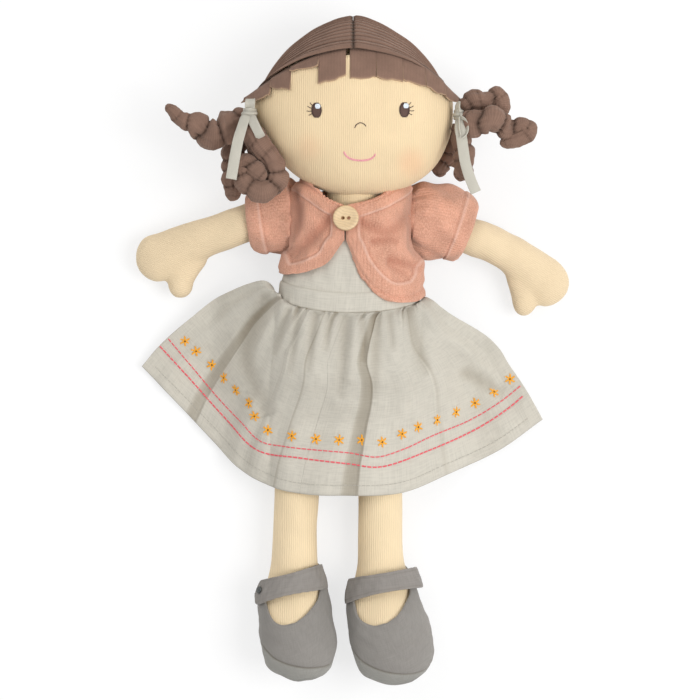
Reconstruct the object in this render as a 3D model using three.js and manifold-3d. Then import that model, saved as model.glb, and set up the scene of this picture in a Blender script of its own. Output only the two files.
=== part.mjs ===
// Rag doll, lying on its back: +X is the doll's left, +Y is towards the head, +Z is towards the front.
// Millimetres. The surface that the doll lies on is z = 0.
import * as THREE from "three";
import { mergeVertices } from "three/addons/utils/BufferGeometryUtils.js";
import Module from "manifold-3d";

const wasm = await Module();
wasm.setup();

// Clearances
const SEAM_GAP = 0.35; // between two pieces sewn together
const LAYER_GAP = 0.35; // between two layers of cloth
const JOINT_GAP = 0.45; // between two stuffed pieces that move on a seam
const REST_FLAT = 0.5; // depth of the flat where a round form rests

// Cloth thicknesses
const COTTON = 1.4;
const VELOUR = 2;
const HAIR_CLOTH = 2;
const SHOE_CLOTH = 1.65;
const STRAP_CLOTH = 1.4;
const RIBBON_THICKNESS = 0.9;
const RIBBON_WIDTH = 6;

// Head
const HEAD_HALF_WIDTH = 56.5;
const HEAD_HALF_HEIGHT = 52.2;
const HEAD_HALF_DEPTH = 37.5;
const HEAD_X = 0.6;
const HEAD_Y = 138.1;
const HEAD_Z = HEAD_HALF_DEPTH - REST_FLAT;
const CROWN_POWER = 1.6; // below 2 the crown rises to a soft point
const RIGHT_CHEEK_POWER = 1.75;
const LEFT_CHEEK_POWER = 2.4; // this cheek is the fuller one
const HEAD_DEPTH_POWER = 2.2;
const HAIRLINE_ANGLE = 38; // degrees above the front, about the line from ear to ear
const NAPE_ANGLE = 226;

// The curls and the ribbons are measured outwards from the side of the head
const sideOfHead = {
  right: (out) => HEAD_X - HEAD_HALF_WIDTH - out,
  left: (out) => HEAD_X + HEAD_HALF_WIDTH + out,
};

// Neck
const NECK_RADIUS = 15.5;
const NECK_BALL = 12.5;
const NECK_X = 2;
const NECK_PIVOT_Y = 78;
const NECK_Z = 28.5;
const NECK_INSET = 11; // how far the neck runs up into the head

const WAIST_HALF_WIDTH = 40; // of the waistband

// Torso: x, y, z, half width and half depth from the seat to the shoulders
const TORSO_STATIONS = [
  [-6.6, -26, 23.2, 37, 18.5],
  [-5, -4, 24, 37.5, 20.6],
  [-2, 24, 24.8, WAIST_HALF_WIDTH - 1, 21.2],
  [-0.6, 42, 24.8, 36.5, 21.2],
  [0, 56, 24.8, 31.2, 21.2],
  [0, 70, 24.6, 30.6, 20.2],
  [0, 88, 24.2, 30.2, 18.5],
];
const TORSO_ROUND = 15;
const SEAT_Y = -16; // the straight seam that the legs are sewn into

// Arms
const SHOULDER_X = 42.6;
const SHOULDER_Y = 77;
const SHOULDER_Z = 24;
const ARM_RADIUS = 11;
const ARMHOLE_X = 31.1;
const ARMHOLE_Y = 50;

// Legs
const LEG_RADIUS = 13;
const HIP_Y = SEAT_Y - JOINT_GAP - LEG_RADIUS;
const LEG_Z = LEG_RADIUS + COTTON + 0.9;

// Dress and jacket
const WAIST_Y = 27.5; // lower edge of the waistband at the sides
const WAIST_DIP = 7.4; // how much lower it is at the front
const WAISTBAND_HEIGHT = 11.5;
const BODICE_TOP = 83;
const JACKET_HEM_BACK = 44;
const JACKET_NECK_BACK = 88;
const FRONT_OPENING_X = -3.9;
const FRONT_OPENING_GAP = 0.8;

// Button
const BUTTON_RADIUS = 7.3;
const BUTTON_THICKNESS = 3;
const BUTTON_HOLE_RADIUS = 0.8;
const BUTTON_HOLE_SPACING = 3.2;
const BUTTON_Y = 73.1;

const NECK_NOD = { low: -10, high: 14 };
const NECK_TURN = { low: -12, high: 12 };

const COLOURS = {
  skin: 0xedd3a6,
  hair: 0x83695b,
  dress: 0xcac6ba,
  jacket: 0xd9a28a,
  shoe: 0x96918b,
  sole: 0x9e9c96,
  ribbon: 0xc2c0b6,
  wood: 0xddc29a,
  stud: 0x6f716f,
};

function rad(degrees) {
  return THREE.MathUtils.degToRad(degrees);
}

function mix(a, b, t) {
  return a + (b - a) * t;
}

function smooth(a, b, x) {
  const t = Math.min(Math.max((x - a) / (b - a), 0), 1);
  return t * t * (3 - 2 * t);
}

// A smooth curve of value against position through a few points
function curveThrough(points) {
  const sorted = [...points].sort((p, q) => p[0] - q[0]);
  return (x) => {
    const last = sorted.length - 1;
    if (x <= sorted[0][0]) return sorted[0][1];
    if (x >= sorted[last][0]) return sorted[last][1];
    const i = sorted.findIndex((p) => p[0] > x) - 1;
    const [x0, y0] = sorted[i];
    const [x1, y1] = sorted[i + 1];
    const before = sorted[Math.max(i - 1, 0)];
    const after = sorted[Math.min(i + 2, last)];
    const m0 = (y1 - before[1]) / (x1 - before[0]);
    const m1 = (after[1] - y0) / (after[0] - x0);
    const h = x1 - x0;
    const t = (x - x0) / h;
    return (
      (2 * t ** 3 - 3 * t ** 2 + 1) * y0 +
      (t ** 3 - 2 * t ** 2 + t) * h * m0 +
      (3 * t ** 2 - 2 * t ** 3) * y1 +
      (t ** 3 - t ** 2) * h * m1
    );
  };
}

// Meshes
function makeGeometry(points, triangles) {
  const geometry = new THREE.BufferGeometry();
  const flat = points.flatMap((p) => [p.x, p.y, p.z]);
  geometry.setAttribute("position", new THREE.Float32BufferAttribute(flat, 3));
  let volume = 0;
  for (const [a, b, c] of triangles) {
    volume += points[a].dot(new THREE.Vector3().crossVectors(points[b], points[c]));
  }
  const outward = volume > 0 ? triangles : triangles.map(([a, b, c]) => [a, c, b]);
  geometry.setIndex(outward.flat());
  return geometry;
}

function toSolid(geometry) {
  const bare = geometry.clone();
  bare.deleteAttribute("normal");
  bare.deleteAttribute("uv");
  const merged = mergeVertices(bare, 1e-4);
  const mesh = new wasm.Mesh({
    numProp: 3,
    vertProperties: new Float32Array(merged.attributes.position.array),
    triVerts: new Uint32Array(merged.index.array),
  });
  return new wasm.Manifold(mesh);
}

function toGeometry(solid) {
  const mesh = solid.getMesh();
  const geometry = new THREE.BufferGeometry();
  geometry.setAttribute("position", new THREE.BufferAttribute(mesh.vertProperties, 3));
  geometry.setIndex(new THREE.BufferAttribute(mesh.triVerts, 1));
  return geometry;
}

// Rings of points joined into a closed skin, with a point at the middle of each end
function loft(rings, startPoint, endPoint) {
  const count = rings[0].length;
  const points = rings.flat();
  const triangles = [];
  for (let r = 0; r + 1 < rings.length; r++) {
    for (let k = 0; k < count; k++) {
      const a = r * count + k;
      const b = r * count + ((k + 1) % count);
      triangles.push([a, b, b + count], [a, b + count, a + count]);
    }
  }
  const start = points.push(startPoint) - 1;
  const end = points.push(endPoint) - 1;
  const lastRing = (rings.length - 1) * count;
  for (let k = 0; k < count; k++) {
    const next = (k + 1) % count;
    triangles.push([start, next, k], [end, lastRing + k, lastRing + next]);
  }
  return makeGeometry(points, triangles);
}

// A piece of cloth: outer(u, v) and inner(u, v) are its two faces, and a closed one meets itself in u
function cloth(outer, inner, uSteps, vSteps, closed = false) {
  const us = Array.isArray(uSteps) ? uSteps : steps(uSteps);
  const vs = Array.isArray(vSteps) ? vSteps : steps(vSteps);
  const columns = closed ? us.length - 1 : us.length;
  const points = [];
  for (const face of [outer, inner]) {
    for (let i = 0; i < columns; i++) {
      for (const v of vs) points.push(face(us[i], v));
    }
  }
  const rows = vs.length;
  const at = (face, i, j) => face * columns * rows + (i % columns) * rows + j;
  const triangles = [];
  const quad = (a, b, c, d) => triangles.push([a, b, c], [a, c, d]);
  for (let i = 0; i + 1 < us.length; i++) {
    for (let j = 0; j + 1 < rows; j++) {
      quad(at(0, i, j), at(0, i + 1, j), at(0, i + 1, j + 1), at(0, i, j + 1));
      quad(at(1, i, j), at(1, i, j + 1), at(1, i + 1, j + 1), at(1, i + 1, j));
    }
    quad(at(0, i, 0), at(1, i, 0), at(1, i + 1, 0), at(0, i + 1, 0));
    quad(at(0, i, rows - 1), at(0, i + 1, rows - 1), at(1, i + 1, rows - 1), at(1, i, rows - 1));
  }
  if (!closed) {
    const end = us.length - 1;
    for (let j = 0; j + 1 < rows; j++) {
      quad(at(0, 0, j), at(0, 0, j + 1), at(1, 0, j + 1), at(1, 0, j));
      quad(at(0, end, j), at(1, end, j), at(1, end, j + 1), at(0, end, j + 1));
    }
  }
  return makeGeometry(points, triangles);
}

function steps(count) {
  return Array.from({ length: count + 1 }, (_, i) => i / count);
}

// A stuffed form: rings across a smooth line, with round ends
class Form {
  constructor(stations, { round = [0, 0], power = 2 } = {}) {
    const spine = stations.map(([x, y, z]) => new THREE.Vector3(x, y, z));
    const halves = stations.map(([, , , w, d]) => new THREE.Vector3(w, d, 0));
    this.line = new THREE.CatmullRomCurve3(spine, false, "centripetal");
    this.halves = new THREE.CatmullRomCurve3(halves, false, "catmullrom", 0.5);
    this.length = this.line.getLength();
    this.round = round;
    this.power = power;
  }

  frame(u) {
    const tangent = this.line.getTangentAt(u);
    const side = new THREE.Vector3().crossVectors(tangent, new THREE.Vector3(0, 0, 1)).normalize();
    const up = new THREE.Vector3().crossVectors(side, tangent);
    return { tangent, side, up };
  }

  // How far into each round end a place is: 1 at the very end, 0 where the round end stops
  nearEnds(u) {
    const along = u * this.length;
    const [start, end] = this.round;
    return [
      start ? Math.max(1 - along / start, 0) : 0,
      end ? Math.max(1 - (this.length - along) / end, 0) : 0,
    ];
  }

  // How much of its full size a ring has near a round end
  fullness(u) {
    const [start, end] = this.nearEnds(u);
    return Math.sqrt(1 - start ** 2) * Math.sqrt(1 - end ** 2);
  }

  // How far a ring of a grown form moves along the line, so that its round ends grow too
  reach(u, grow) {
    const [start, end] = this.nearEnds(u);
    return grow * (end - start);
  }

  at(u, angle, grow = 0) {
    const { tangent, side, up } = this.frame(u);
    const half = this.halves.getPoint(this.line.getUtoTmapping(u));
    const full = this.fullness(u);
    const c = Math.cos(angle);
    const s = Math.sin(angle);
    const across = Math.sign(c) * Math.abs(c) ** (2 / this.power) * (half.x + grow) * full;
    const high = Math.sign(s) * Math.abs(s) ** (2 / this.power) * (half.y + grow) * full;
    return this.line
      .getPointAt(u)
      .addScaledVector(tangent, this.reach(u, grow))
      .addScaledVector(side, across)
      .addScaledVector(up, high);
  }

  // Ring places: close together on the round ends, even between them
  places(rings, from, to) {
    const list = [];
    const roundRings = 4;
    const start = from === 0 ? this.round[0] / this.length : 0;
    const end = to === 1 ? this.round[1] / this.length : 0;
    for (let i = 1; i <= roundRings && start; i++) {
      list.push(start * (1 - Math.cos((i / roundRings) * (Math.PI / 2))));
    }
    const first = start ? start : from;
    const last = end ? 1 - end : to;
    for (let i = start ? 1 : 0; i <= rings - (end ? 1 : 0); i++) {
      list.push(mix(first, last, i / rings));
    }
    for (let i = roundRings; i >= 1 && end; i--) {
      list.push(1 - end * (1 - Math.cos((i / roundRings) * (Math.PI / 2))));
    }
    return list;
  }

  geometry(sides, rings, grow = 0, from = 0, to = 1) {
    const angles = steps(sides).slice(0, sides).map((t) => t * 2 * Math.PI);
    const list = this.places(rings, from, to).map((u) => angles.map((a) => this.at(u, a, grow)));
    const end = (u) => {
      const { tangent } = this.frame(u);
      return this.line.getPointAt(u).addScaledVector(tangent, this.reach(u, grow));
    };
    return loft(list, end(from), end(to));
  }

  // The place along the line that has this y
  placeAtY(y) {
    let low = 0;
    let high = 1;
    const rising = this.line.getPointAt(1).y > this.line.getPointAt(0).y;
    for (let i = 0; i < 30; i++) {
      const middle = (low + high) / 2;
      const below = this.line.getPointAt(middle).y < y;
      if (below === rising) low = middle;
      else high = middle;
    }
    return (low + high) / 2;
  }
}

// Everything on the far side of a plane, as a large block
const BLOCK = 500;
function beyond(point, normal) {
  const box = new THREE.BoxGeometry(BLOCK, BLOCK, BLOCK);
  box.translate(0, 0, BLOCK / 2);
  const turn = new THREE.Quaternion().setFromUnitVectors(
    new THREE.Vector3(0, 0, 1),
    new THREE.Vector3(...normal).normalize(),
  );
  box.applyQuaternion(turn);
  box.translate(...point);
  return toSolid(box);
}

function block(low, high) {
  const size = high.map((value, i) => value - low[i]);
  const box = new THREE.BoxGeometry(...size);
  box.translate(...low.map((value, i) => value + size[i] / 2));
  return toSolid(box);
}

const belowSurface = beyond([0, 0, 0], [0, 0, -1]);

function turned(geometry, pivot, axis, degrees) {
  const copy = geometry.clone();
  copy.translate(-pivot[0], -pivot[1], -pivot[2]);
  copy.applyQuaternion(new THREE.Quaternion().setFromAxisAngle(new THREE.Vector3(...axis), rad(degrees)));
  copy.translate(...pivot);
  return copy;
}

const doll = new THREE.Group();

function addPiece(name, geometry, colour, roughness = 0.95) {
  const material = new THREE.MeshStandardMaterial({ color: colour, roughness, metalness: 0 });
  const mesh = new THREE.Mesh(geometry, material);
  mesh.name = name;
  doll.add(mesh);
}

// Head: rings about the line from ear to ear, so that the tucks of the hair can run from ear to ear
function headPoint(across, angle, grow) {
  const c = Math.cos(angle);
  const s = Math.sin(angle);
  const cheek = across < 0 ? RIGHT_CHEEK_POWER : LEFT_CHEEK_POWER;
  const power = s > 0 ? CROWN_POWER : cheek;
  const ring = (p) => Math.max(1 - Math.abs(across) ** p, 0) ** (1 / p);
  return new THREE.Vector3(
    HEAD_X + across * (HEAD_HALF_WIDTH + grow),
    HEAD_Y + s * ring(power) * (HEAD_HALF_HEIGHT + grow),
    HEAD_Z + c * ring(HEAD_DEPTH_POWER) * (HEAD_HALF_DEPTH + grow),
  );
}

function headGeometry(grow, sides, rings) {
  const angles = steps(sides).slice(0, sides).map((t) => t * 2 * Math.PI);
  const list = [];
  for (let i = 1; i < rings; i++) {
    const across = -Math.cos((i / rings) * Math.PI);
    list.push(angles.map((a) => headPoint(across, a, grow)));
  }
  return loft(list, headPoint(-1, 0, grow), headPoint(1, 0, grow));
}

const HEAD_SIDES = 24;
const HEAD_RINGS = 16;
const CAP_AROUND = 16;
const EAR = 0.968; // the cap's room ends just short of the very side of the head
const CAP_EAR = 0.96;

// A part of the head's outer skin, between two angles and from one share of the half width to another
function headPatch(outerGrow, innerGrow, from, to, firstAcross, lastAcross, across, around) {
  const face = (grow) => (u, v) => {
    const turn = mix(Math.asin(firstAcross), Math.asin(lastAcross), v);
    return headPoint(Math.sin(turn), rad(mix(from, to, u)), grow);
  };
  return cloth(face(outerGrow), face(innerGrow), around, across);
}

function neckGeometry(grow) {
  const ball = NECK_BALL + grow;
  const top = HEAD_Y - HEAD_HALF_HEIGHT + NECK_INSET + grow - NECK_PIVOT_Y;
  const radius = NECK_RADIUS + grow;
  const profile = [new THREE.Vector2(0, -ball)];
  for (const degrees of [-70, -50, -30, -10]) {
    profile.push(new THREE.Vector2(ball * Math.cos(rad(degrees)), ball * Math.sin(rad(degrees))));
  }
  profile.push(new THREE.Vector2(radius, top * 0.4));
  profile.push(new THREE.Vector2(radius, top));
  profile.push(new THREE.Vector2(0, top));
  const geometry = new THREE.LatheGeometry(profile, 20);
  geometry.translate(NECK_X, NECK_PIVOT_Y, NECK_Z);
  return geometry;
}

const NECK_PIVOT = [NECK_X, NECK_PIVOT_Y, NECK_Z];
const X_AXIS = [1, 0, 0];
const Y_AXIS = [0, 1, 0];

// The room that the neck takes as it nods: its ball, and a funnel above the pivot
function buildNeckRoom() {
  const ball = NECK_BALL + JOINT_GAP;
  const flare = Math.tan(rad(Math.max(-NECK_NOD.low, NECK_NOD.high)));
  const top = NECK_RADIUS * 2;
  const profile = [new THREE.Vector2(0, -ball)];
  for (const degrees of [-65, -40, -15]) {
    profile.push(new THREE.Vector2(ball * Math.cos(rad(degrees)), ball * Math.sin(rad(degrees))));
  }
  profile.push(new THREE.Vector2(NECK_RADIUS + JOINT_GAP * 2, 0));
  profile.push(new THREE.Vector2(NECK_RADIUS + JOINT_GAP * 2 + top * flare, top));
  profile.push(new THREE.Vector2(0, top));
  const geometry = new THREE.LatheGeometry(profile, 18);
  geometry.translate(NECK_X, NECK_PIVOT_Y, NECK_Z);
  return toSolid(geometry);
}

// The room that the head takes as it nods and turns
function buildHeadRoom() {
  const facets = 1; // a coarse form lies inside the smooth one, so it is made this much larger
  const geometry = headGeometry(JOINT_GAP + facets, 16, 10);
  let room = toSolid(geometry);
  for (const [nod, turn] of [
    [NECK_NOD.low, 0],
    [NECK_NOD.high, 0],
    [NECK_NOD.high, NECK_TURN.low],
    [NECK_NOD.high, NECK_TURN.high],
  ]) {
    const turnedOnce = turned(geometry, NECK_PIVOT, Y_AXIS, turn);
    room = room.add(toSolid(turned(turnedOnce, NECK_PIVOT, X_AXIS, nod)));
  }
  return room;
}

const neckRoom = buildNeckRoom();
const headRoom = buildHeadRoom();

function buildHead() {
  const skinStep = HAIR_CLOTH + LAYER_GAP + 0.15;
  const edge = 1.1; // degrees of room at the edge of the cap
  const capRoom = toSolid(
    headPatch(4, -skinStep, HAIRLINE_ANGLE - edge, NAPE_ANGLE + edge, -EAR, EAR, 16, CAP_AROUND),
  );
  const neckSocket = toSolid(neckGeometry(JOINT_GAP));
  const head = toSolid(headGeometry(0, HEAD_SIDES, HEAD_RINGS))
    .subtract(capRoom)
    .subtract(neckSocket)
    .subtract(belowSurface);
  addPiece("head", toGeometry(head), COLOURS.skin);
  const middle = SEAM_GAP / 2 / HEAD_HALF_WIDTH;
  for (const [name, first, last] of [
    ["hair_cap_right", -CAP_EAR, -middle],
    ["hair_cap_left", middle, CAP_EAR],
  ]) {
    const cap = toSolid(
      headPatch(0, -HAIR_CLOTH, HAIRLINE_ANGLE, NAPE_ANGLE, first, last, 8, CAP_AROUND),
    );
    addPiece(name, toGeometry(cap.subtract(belowSurface)), COLOURS.hair);
  }
}

// The fringe lies on a curve that is a little larger than the head
const FRINGE_SPREAD = 4.9;
const FRINGE_RISE = 2.4;
const FRINGE_THICKNESS = 1.6;
const FRINGE_HALF_WIDTH = HEAD_HALF_WIDTH + FRINGE_SPREAD;
const FRINGE_HALF_HEIGHT = HEAD_HALF_HEIGHT + FRINGE_RISE;
const FRINGE_HALF_DEPTH = HEAD_HALF_DEPTH - 0.1;
const FRINGE_RIGHT_END = HEAD_X - FRINGE_HALF_WIDTH + 0.6;
const FRINGE_LEFT_END = HEAD_X + FRINGE_HALF_WIDTH - 1.4;

// Tabs of the fringe: each is its left and right x, and its two lower corners' y
const FRINGE_RIGHT = [
  [FRINGE_RIGHT_END, -46.2, 140.6, 144.4],
  [-46.2, -34.8, 148.8, 148.4],
  [-34.8, -19.2, 161.6, 158.2],
  [-19.2, -3.6, 151.8, 156.4],
];
const FRINGE_LEFT = [
  [-1.2, 13.8, 154.6, 154.2],
  [13.8, 28.8, 153.4, 152.4],
  [28.8, 41.4, 151.6, 149],
  [41.4, 52.2, 148.4, 144],
  [52.2, FRINGE_LEFT_END, 141.4, 139],
];
const FRINGE_SEWN_LINE = [
  [FRINGE_RIGHT_END, 142.4],
  [-46, 152.6],
  [-29.6, 161.9],
  [-14, 169],
  [1.5, 171.6],
  [18, 169.4],
  [30, 165.8],
  [41.6, 159.8],
  [52, 151.2],
  [FRINGE_LEFT_END, 141.8],
];
const fringeSewnEdge = curveThrough(FRINGE_SEWN_LINE);

function fringePoint(x, y, lift) {
  const across = (x - HEAD_X) / FRINGE_HALF_WIDTH;
  const up = (y - HEAD_Y) / FRINGE_HALF_HEIGHT;
  const forward = Math.sqrt(Math.max(1 - across ** 2 - up ** 2, 0.03));
  const normal = new THREE.Vector3(across * 0.6, up * 0.6, forward).normalize();
  const surface = new THREE.Vector3(x, y, HEAD_Z + LAYER_GAP + forward * FRINGE_HALF_DEPTH);
  return surface.addScaledVector(normal, lift);
}

function fringeStrip(tabs) {
  const slit = 0.45; // half the width of the cut between two tabs
  const slitShare = 0.35; // the part of the strip that is not cut
  const columns = [];
  tabs.forEach(([left, right, leftY, rightY], i) => {
    const first = i === 0 ? left : left + slit;
    const last = i === tabs.length - 1 ? right : right - slit;
    for (const t of [0, 0.34, 0.66, 1]) {
      const x = mix(first, last, t);
      const bow = 0.7 * Math.sin(t * Math.PI);
      columns.push([x, mix(leftY, rightY, t) - bow]);
    }
    if (i + 1 < tabs.length) {
      const top = fringeSewnEdge(right);
      columns.push([right, mix(top, Math.max(rightY, tabs[i + 1][2]), slitShare)]);
    }
  });
  const place = (lift) => (u, v) => {
    const [x, low] = columns[Math.round(u * (columns.length - 1))];
    const high = Math.max(fringeSewnEdge(x), low + 0.6);
    return fringePoint(x, mix(high, low, v), lift);
  };
  return cloth(place(FRINGE_THICKNESS), place(0), columns.length - 1, 3);
}

// A curl: a strip of jersey wound on itself. Each ring sits to one side of the line and winds round it
function curl(stations, { pitch, offset, sides = 7, ringsPerTurn = 8, wind = 1 }) {
  const form = new Form(stations, { round: [3, 5] });
  const rings = Math.round((form.length / pitch) * ringsPerTurn);
  const list = [];
  for (let i = 0; i <= rings; i++) {
    const u = 0.012 + (0.976 * i) / rings;
    const { side, up } = form.frame(u);
    const half = form.halves.getPoint(form.line.getUtoTmapping(u));
    const full = form.fullness(u);
    const phase = wind * 2 * Math.PI * (u * form.length) / pitch;
    const shift = half.x * offset * full;
    const centre = form.line
      .getPointAt(u)
      .addScaledVector(side, shift * Math.cos(phase))
      .addScaledVector(up, shift * Math.sin(phase));
    const waist = 1 - 0.08 * Math.cos(2 * phase);
    const radius = half.x * (1 - offset * 0.6) * full * waist;
    list.push(
      steps(sides).slice(0, sides).map((t) => {
        const a = t * 2 * Math.PI;
        return centre
          .clone()
          .addScaledVector(side, radius * Math.cos(a))
          .addScaledVector(up, radius * Math.sin(a));
      }),
    );
  }
  return loft(list, form.line.getPointAt(0), form.line.getPointAt(1));
}

// Curls of each bunch, from the tie to the tip: distance outwards from the side of the head, y, z and radius
const CURL_STATIONS = {
  curl_right_outer: [
    [5.6, 131.5, 46, 5],
    [12.7, 124.8, 46, 10.5],
    [23.3, 121.6, 46, 8.4],
    [30.7, 125, 46, 7.8],
    [38.7, 129.6, 46, 4.6],
    [48.5, 135.6, 46, 2.2],
  ],
  curl_right_front: [
    [1.5, 128.9, 53.2, 3],
    [-0.7, 121.5, 57.6, 5.5],
    [-1.9, 113, 55, 9.8],
    [-2.9, 101, 55, 11.5],
    [-5.9, 85.4, 55, 9],
  ],
  curl_right_back: [
    [5.7, 120.4, 34.4, 3],
    [11.1, 108, 31, 6],
    [11.1, 96, 31, 5.8],
    [13.7, 84.6, 32, 2.2],
  ],
  curl_right_inner: [
    [1.6, 127, 39.5, 3],
    [-0.4, 117.5, 35.5, 4.5],
    [-3.4, 110, 35.5, 5],
    [-8.9, 101.5, 36, 3.6],
  ],
  curl_left_upper: [
    [4.9, 134.2, 45, 2.4],
    [8.9, 137.5, 39.8, 4],
    [14.9, 141.5, 42, 7.4],
    [22.9, 141.5, 42, 6.6],
    [28.1, 136.5, 42, 5],
    [29.4, 128.5, 42, 2.6],
  ],
  curl_left_outer: [
    [6.1, 131, 51.6, 2.8],
    [9.5, 129.2, 55.2, 4],
    [13.9, 127.6, 57, 8],
    [22.5, 129, 57, 7],
    [30.4, 122.8, 52, 6.2],
    [38.4, 121.4, 49, 5.6],
    [44.1, 125.2, 48, 2.8],
  ],
  curl_left_lower: [
    [2.7, 127.8, 47.5, 2.4],
    [4.4, 119.5, 46.5, 4.2],
    [5.4, 110, 48, 6],
    [6.4, 101, 48, 6.8],
    [5.4, 93, 48, 4.5],
  ],
  curl_left_inner: [
    [4.4, 127.6, 35.5, 3],
    [1.3, 118.6, 28, 4.2],
    [-2.5, 110.5, 23, 4.8],
    [-5.7, 103, 21.5, 4.6],
    [-6.7, 98.6, 21, 3],
  ],
};

function buildCurls() {
  for (const [name, stations] of Object.entries(CURL_STATIONS)) {
    const side = name.includes("left") ? "left" : "right";
    const rows = stations.map(([out, y, z, r]) => [sideOfHead[side](out), y, z, r, r]);
    const widest = Math.max(...stations.map((s) => s[3]));
    const wind = side === "left" ? -1 : 1;
    const pitch = 9 + widest * 0.5;
    addPiece(name, curl(rows, { pitch, offset: 0.28, wind }), COLOURS.hair);
  }
}

// Ribbons: a knot, a loop and a tail at each tie, measured like the curls
const KNOT_HALF = [3.7, 3.6, 6.4];
const TIES = {
  right: {
    knot: [1.6, 132.6, 50.5],
    loop: [-0.5, 125.6, 64.9],
    loopTurn: 14,
    loopTilt: -32,
    tail: [
      [4.7, 130.8, 57.8],
      [6.9, 124.5, 62.5],
      [8.1, 116, 67.4],
      [9.1, 108, 68.6],
      [11.5, 95.2, 68],
    ],
  },
  left: {
    knot: [2.4, 131.8, 48.4],
    loop: [-2.9, 124.2, 58.2],
    loopTurn: -14,
    loopTilt: -22,
    tail: [
      [3.7, 130.6, 55.8],
      [5.3, 124, 58.6],
      [4.9, 116.6, 59.4],
      [4.7, 107, 59.4],
      [8.9, 97, 59.4],
      [15.1, 87.8, 58],
    ],
  },
};

function buildRibbons() {
  for (const [side, tie] of Object.entries(TIES)) {
    const place = ([out, y, z]) => [sideOfHead[side](out), y, z];
    const knot = new THREE.SphereGeometry(1, 12, 8);
    knot.scale(...KNOT_HALF);
    knot.translate(...place(tie.knot));
    addPiece(`ribbon_knot_${side}`, knot, COLOURS.ribbon);
    const ring = new THREE.Shape();
    ring.absellipse(0, 0, 3.8, 6.4, 0, 2 * Math.PI, false, 0);
    const hole = new THREE.Path();
    hole.absellipse(0, 0, 2.8, 5.4, 0, 2 * Math.PI, true, 0);
    ring.holes.push(hole);
    const depth = RIBBON_WIDTH * 0.7; // the ribbon is creased along its loop
    const loop = new THREE.ExtrudeGeometry(ring, { depth, bevelEnabled: false, curveSegments: 9 });
    loop.translate(0, 0, -depth / 2);
    loop.rotateZ(rad(tie.loopTurn));
    loop.rotateX(rad(tie.loopTilt));
    loop.translate(...place(tie.loop));
    addPiece(`ribbon_loop_${side}`, loop, COLOURS.ribbon);
    const rows = tie.tail.map((p) => [...place(p), RIBBON_WIDTH / 2, RIBBON_THICKNESS / 2]);
    const tail = new Form(rows, { power: 5 });
    addPiece(`ribbon_tail_${side}`, tail.geometry(8, 8), COLOURS.ribbon);
  }
}

// Body
const torsoForm = new Form(TORSO_STATIONS, { round: [0, TORSO_ROUND], power: 2.3 });
const TORSO_AROUND = 28;
const TORSO_RINGS = 10;
const SIDE_SEAM_Z = 24.6;

function armholeRoom() {
  const right = block([-BLOCK / 2, ARMHOLE_Y, -1], [-ARMHOLE_X, 130, 90]);
  const left = block([ARMHOLE_X, ARMHOLE_Y, -1], [BLOCK / 2, 130, 90]);
  return right.add(left);
}

// The cloth all round the torso between two distances from it
function torsoLayer(inner, outer) {
  const skin = (grow) => toSolid(torsoForm.geometry(TORSO_AROUND, TORSO_RINGS, grow));
  return skin(outer).subtract(skin(inner));
}

// A flat outline in x and y, carried through from one height to another
function prism(points, low, high) {
  const shape = new THREE.Shape(points.map(([x, y]) => new THREE.Vector2(x, y)));
  const geometry = new THREE.ExtrudeGeometry(shape, { depth: high - low, bevelEnabled: false });
  geometry.translate(0, 0, low);
  return toSolid(geometry);
}

function buildTorso() {
  const seatCut = beyond([0, SEAT_Y, 0], [0, -1, 0]);
  const torso = toSolid(torsoForm.geometry(TORSO_AROUND, TORSO_RINGS))
    .subtract(seatCut)
    .subtract(neckRoom)
    .subtract(headRoom);
  addPiece("torso", toGeometry(torso), COLOURS.skin);
  addPiece("neck", neckGeometry(0), COLOURS.skin);
}

// Arms: x, y, z, half width and half thickness from the shoulder to the finger tips
const ARM_STATIONS = {
  right: [
    [-SHOULDER_X + ARM_RADIUS, SHOULDER_Y + 0.4, SHOULDER_Z, ARM_RADIUS, ARM_RADIUS],
    [-SHOULDER_X, SHOULDER_Y, SHOULDER_Z, ARM_RADIUS, ARM_RADIUS],
    [-59, 72.6, 20.6, ARM_RADIUS, 10.6],
    [-73, 67.6, 17.4, 10.8, 10.2],
    [-87, 62.6, 14.4, 11.3, 10],
    [-100, 57.2, 11.8, 12.8, 9.8],
    [-112, 52.6, 9.2, 13.9, 9.8],
    [-124.3, 49.6, 9.2, 13, 9.4],
  ],
  left: [
    [SHOULDER_X - ARM_RADIUS, SHOULDER_Y + 0.6, SHOULDER_Z, ARM_RADIUS, ARM_RADIUS],
    [SHOULDER_X, SHOULDER_Y, SHOULDER_Z, ARM_RADIUS, ARM_RADIUS],
    [63, 66.2, 20, 10.7, 10.6],
    [79, 60.6, 16.8, 10.5, 10.2],
    [93, 53, 13.6, 11, 10],
    [104, 44.8, 11.4, 12.6, 9.8],
    [112.4, 36.8, 9.2, 13.6, 9.8],
    [120.2, 27.8, 9.2, 12.6, 9.4],
  ],
};
const THUMB_STATIONS = {
  right: [
    [-97.4, 56, 11.6, 6.6, 6.2],
    [-97.6, 44, 10.8, 7, 6.2],
    [-97.2, 29, 10, 6.8, 5.8],
  ],
  left: [
    [103, 45, 11.6, 6.4, 6.2],
    [99.6, 34, 10.8, 6.6, 6.2],
    [98.2, 18.8, 10, 6.4, 5.8],
  ],
};
const armForms = {};
for (const side of ["right", "left"]) {
  armForms[side] = new Form(ARM_STATIONS[side], { round: [ARM_RADIUS, 12] });
}

function buildArms() {
  for (const side of ["right", "left"]) {
    const thumb = new Form(THUMB_STATIONS[side], { round: [5, 6.5] });
    const arm = toSolid(armForms[side].geometry(12, 8))
      .add(toSolid(thumb.geometry(8, 2)))
      .subtract(belowSurface);
    addPiece(`arm_${side}`, toGeometry(arm), COLOURS.skin);
  }
}

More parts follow.
